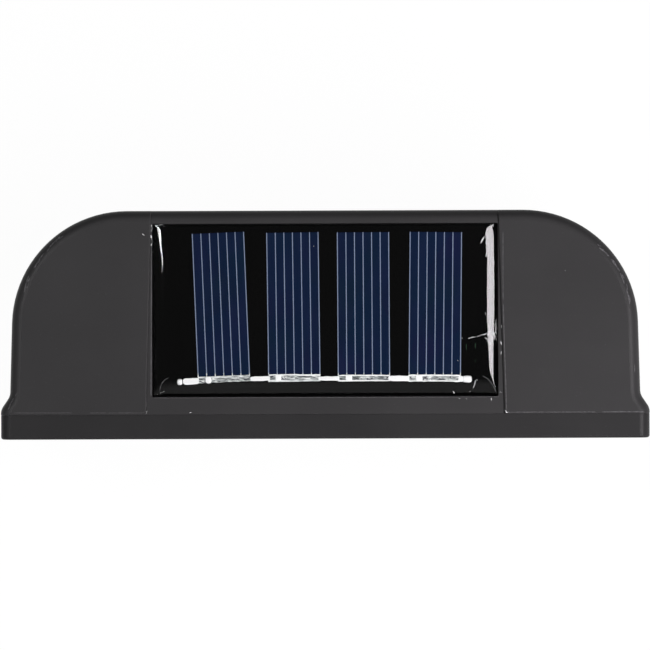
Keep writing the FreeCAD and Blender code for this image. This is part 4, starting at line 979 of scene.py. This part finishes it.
# Painted highlights: lighter patches along the hood's rounded edge, where it catches the lamps.
PAINTED_FILLET_HIGHLIGHTS = (
    (0.30, ((-50.56, -35.14), (-51.48, -34.49), (-52.44, -33.49))),
    (0.34, ((-52.86, -33.00), (-53.60, -31.99), (-54.24, -30.97))),
    (0.26, ((-54.48, -30.41), (-54.97, -29.30), (-55.25, -28.38))),
    (0.20, ((-55.61, -27.45), (-55.98, -26.16), (-56.23, -24.68))),
    (0.16, ((-57.08, -13.60), (-57.11, -12.03))),
    (0.24, ((50.83, -35.49), (49.90, -36.50), (48.79, -37.51))),
    (0.18, ((53.24, -32.36), (52.59, -33.46), (51.85, -34.39))),
    (0.26, ((55.42, -27.47), (55.10, -28.95), (54.63, -30.33))),
    (0.22, ((58.49, -5.60), (58.04, -6.80), (57.48, -7.72))),
    (0.16, ((57.20, -8.09), (56.83, -8.73))),
    (0.20, ((-50.29, -35.71), (-50.79, -35.31))),
    (0.24, ((-50.75, -35.54), (-51.05, -35.29))),
    (0.19, ((-51.42, -34.42), (-51.74, -34.10))),
    (0.14, ((-51.97, -34.09), (-52.38, -33.68))),
    (0.22, ((-53.03, -32.99), (-53.54, -32.35))),
    (0.20, ((-52.96, -32.90), (-53.21, -32.60))),
    (0.19, ((-53.75, -31.76), (-53.94, -31.43))),
    (0.25, ((-54.04, -31.40), (-54.46, -30.68))),
    (0.25, ((-54.84, -30.18), (-55.16, -29.45))),
    (0.15, ((-55.17, -29.77), (-55.34, -29.39))),
    (0.16, ((-55.70, -27.80), (-55.91, -27.18))),
    (0.20, ((-55.63, -28.37), (-55.83, -27.79))),
    (0.25, ((-56.10, -26.29), (-56.32, -25.33))),
    (0.14, ((-56.18, -25.96), (-56.40, -24.97))),
    (0.20, ((48.32, -37.55), (49.04, -37.01))),
    (0.20, ((48.22, -37.66), (48.61, -37.37))),
    (0.26, ((49.30, -36.80), (49.60, -36.52))),
    (0.14, ((49.30, -37.06), (49.92, -36.50))),
    (0.13, ((50.67, -35.46), (51.23, -34.78))),
    (0.17, ((50.98, -35.19), (51.26, -34.86))),
    (0.26, ((52.52, -33.33), (53.09, -32.51))),
    (0.12, ((52.07, -33.91), (52.34, -33.52))),
    (0.14, ((53.17, -32.27), (53.50, -31.71))),
    (0.25, ((53.19, -32.51), (53.66, -31.70))),
    (0.19, ((54.58, -29.67), (54.84, -29.04))),
    (0.21, ((54.41, -29.96), (54.73, -29.19))),
    (0.22, ((55.29, -27.81), (55.49, -27.22))),
    (0.19, ((54.85, -28.38), (55.01, -27.89))),
)


class Ground:
    """The top surface of a piece, to lay marks on."""

    def __init__(self, piece):
        place = piece.matrix_world
        verts = [place @ v.co for v in piece.data.vertices]
        self.tree = BVHTree.FromPolygons(verts, [list(f.vertices) for f in piece.data.polygons])

    def under(self, x, y):
        hit, normal, _, _ = self.tree.ray_cast(Vector((x, y, 1.0)), Vector((0, 0, -1)))
        if hit is None:
            hit, normal, _, _ = self.tree.find_nearest(Vector((x, y, TOP)))
        if normal.z < 0:
            normal = -normal
        return hit, normal


def mark_strip(ground, width, places):
    """A fine ridge along the places, tapered at both ends."""
    points = along([(x * MM, y * MM, 0) for x, y in places], MARK_STEP)
    half = width * MM / 2
    rings = []
    for index, point in enumerate(points):
        before, after = points[max(index - 1, 0)], points[min(index + 1, len(points) - 1)]
        hit, normal = ground.under(point.x, point.y)
        side = normal.cross(after - before).normalized()
        waver = 1 + MARK_WAVER * noise.noise(Vector((point.x * 2500, point.y * 2500, 3.0)))
        reach = half * waver * (MARK_TAPER if index in (0, len(points) - 1) else 1.0)
        foot = hit + normal * MARK_LIFT
        rings.append([foot - side * reach, foot + normal * MARK_RIDGE * reach, foot + side * reach])
    return strip_mesh(rings)


def add_marks(name, ground, marks, material, slot):
    parts = [mark_strip(ground, width, places) for width, places in marks]
    add_mesh(name, *join(parts), material, slot)


def add_all_marks(dome):
    bpy.context.view_layer.update()
    hood, epoxy = Ground(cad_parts["top_housing"]), Ground(dome)
    # Lint and nicks, and one painted highlight on the dome's corner.
    dust_and_glint = mark_material("lint_and_glint", (0.60, 0.60, 0.61), (0.95, 0.95, 0.96))
    add_marks("dust_and_glint_on_epoxy", epoxy, DUST_AND_GLINT_ON_EPOXY, dust_and_glint, "clear_epoxy")
    fibre = mark_material("green_fibre", (0.016, 0.040, 0.022), (0.030, 0.070, 0.040))
    add_marks("fibres_on_epoxy", epoxy, FIBRES_ON_EPOXY, fibre, "clear_epoxy")
    # Painted reflections of the lamps in the dome's corners at the wall side.
    flow = mark_material("corner_reflection_paint", (0.055, 0.055, 0.057), (0.150, 0.150, 0.152))
    add_marks("painted_corner_reflections", epoxy, PAINTED_CORNER_REFLECTIONS, flow, "clear_epoxy")
    add_marks("nicks_on_hood", hood, NICKS_ON_HOOD, dust_and_glint, "black_shell")
    # Painted highlights along the hood's edges.
    edge_highlight = mark_material("edge_highlight_paint", (0.055, 0.054, 0.056), (0.105, 0.103, 0.107))
    add_marks("painted_edge_highlights", hood, PAINTED_EDGE_HIGHLIGHTS, edge_highlight, "black_shell")
    # Painted highlights on the hood's rounded edge.
    fillet_highlight = mark_material("fillet_highlight_paint", (0.050, 0.049, 0.052), (0.115, 0.113, 0.118))
    add_marks("painted_fillet_highlights", hood, PAINTED_FILLET_HIGHLIGHTS, fillet_highlight, "black_shell")


# ---------------------------------------------------------------- stage
def add_camera():
    data = bpy.data.cameras.new("photo_camera")
    data.sensor_width = SENSOR
    data.lens = SENSOR * CAMERA_HEIGHT / VIEW_WIDTH
    data.clip_start, data.clip_end = CLIP
    camera = bpy.data.objects.new("photo_camera", data)
    camera.location = (0.0, VIEW_CENTRE_Y, TOP + CAMERA_HEIGHT)
    camera.rotation_euler = (0.0, 0.0, math.radians(180.0 - VIEW_ROLL))
    bpy.context.scene.collection.objects.link(camera)
    bpy.context.scene.camera = camera


def add_lamp(name, place, size, radiance, tint=(1, 1, 1), shape="ELLIPSE"):
    data = bpy.data.lights.new(name, "AREA")
    data.shape = shape
    data.size, data.size_y = size
    area = size[0] * size[1] * (math.pi / 4 if shape == "ELLIPSE" else 1.0)
    data.energy = POWER_OF_RADIANCE * area * radiance
    data.color = tint
    lamp = bpy.data.objects.new(name, data)
    lamp.location = place
    target = Vector((0.0, place.y, TOP))
    lamp.rotation_mode = "QUATERNION"
    lamp.rotation_quaternion = (target - place).to_track_quat("-Z", "Y")
    lamp.visible_camera = False
    bpy.context.scene.collection.objects.link(lamp)


def add_lamps():
    add_lamp("key_lamp", KEY_PLACE, KEY_SIZE, KEY_RADIANCE, KEY_TINT, "RECTANGLE")
    add_lamp("side_lamp", SIDE_PLACE, SIDE_SIZE, SIDE_RADIANCE)
    for name, side in (("strip_left", 1), ("strip_right", -1)):
        place = Vector((side * STRIP_SIDE, STRIP_BACK, STRIP_HEIGHT))
        add_lamp(name, place, STRIP_SIZE, STRIP_RADIANCE, shape="RECTANGLE")


def add_world():
    """The sky that gloss shows, and a plain fill that lights the matt surfaces."""
    world = bpy.data.worlds.new("studio")
    w = Nodes(world, "ShaderNodeOutputWorld")
    _, y, z = w.split(w.node("ShaderNodeTexCoord").outputs["Generated"])
    sky = w.ramp(z, *[(where, (level, level, level)) for where, level in SKY_LEVELS])
    wallward = w.span(y, *WALLWARD_SPAN, 0.0, WALLWARD_LEVEL, smooth=True)
    seen = w.mix(1.0, sky, wallward, blend="LIGHTEN")
    fill = w.span(y, *FILL_SPAN, FILL_FRONT * FILL_LEVEL, FILL_LEVEL, smooth=True)
    w.mix_surface(
        w.seen_rays(),
        w.node("ShaderNodeBackground", {"Strength": fill}),
        w.node("ShaderNodeBackground", {"Color": seen}),
    )
    bpy.context.scene.world = world


def floor_material():
    s = Shader("pale_floor")
    matt = s.node("ShaderNodeBsdfDiffuse", {"Color": (FLOOR_TONE, FLOOR_TONE, FLOOR_TONE)})
    white = s.node("ShaderNodeEmission", {"Color": (1, 1, 1), "Strength": FLOOR_WHITE})
    s.mix_surface(s.math("MULTIPLY", s.seen_rays(), FLOOR_SHARE), matt, white)
    return s.material


def add_floor():
    z = cad_box[0].z - FLOOR_DROP
    half = FLOOR_SIZE / 2
    corners = [(-half, -half, z), (half, -half, z), (half, half, z), (-half, half, z)]
    mesh = bpy.data.meshes.new("floor")
    mesh.from_pydata(corners, [], [(0, 1, 2, 3)])
    mesh.materials.append(floor_material())
    floor = bpy.data.objects.new("floor", mesh)
    bpy.context.scene.collection.objects.link(floor)


def set_view_transform():
    bpy.context.scene.view_settings.view_transform = "Standard"


def main():
    dress_nodes()
    add_ribbons()
    add_solder()
    add_all_marks(epoxy_dome(epoxy_clear()))
    add_camera()
    add_lamps()
    add_world()
    add_floor()
    set_view_transform()


main()
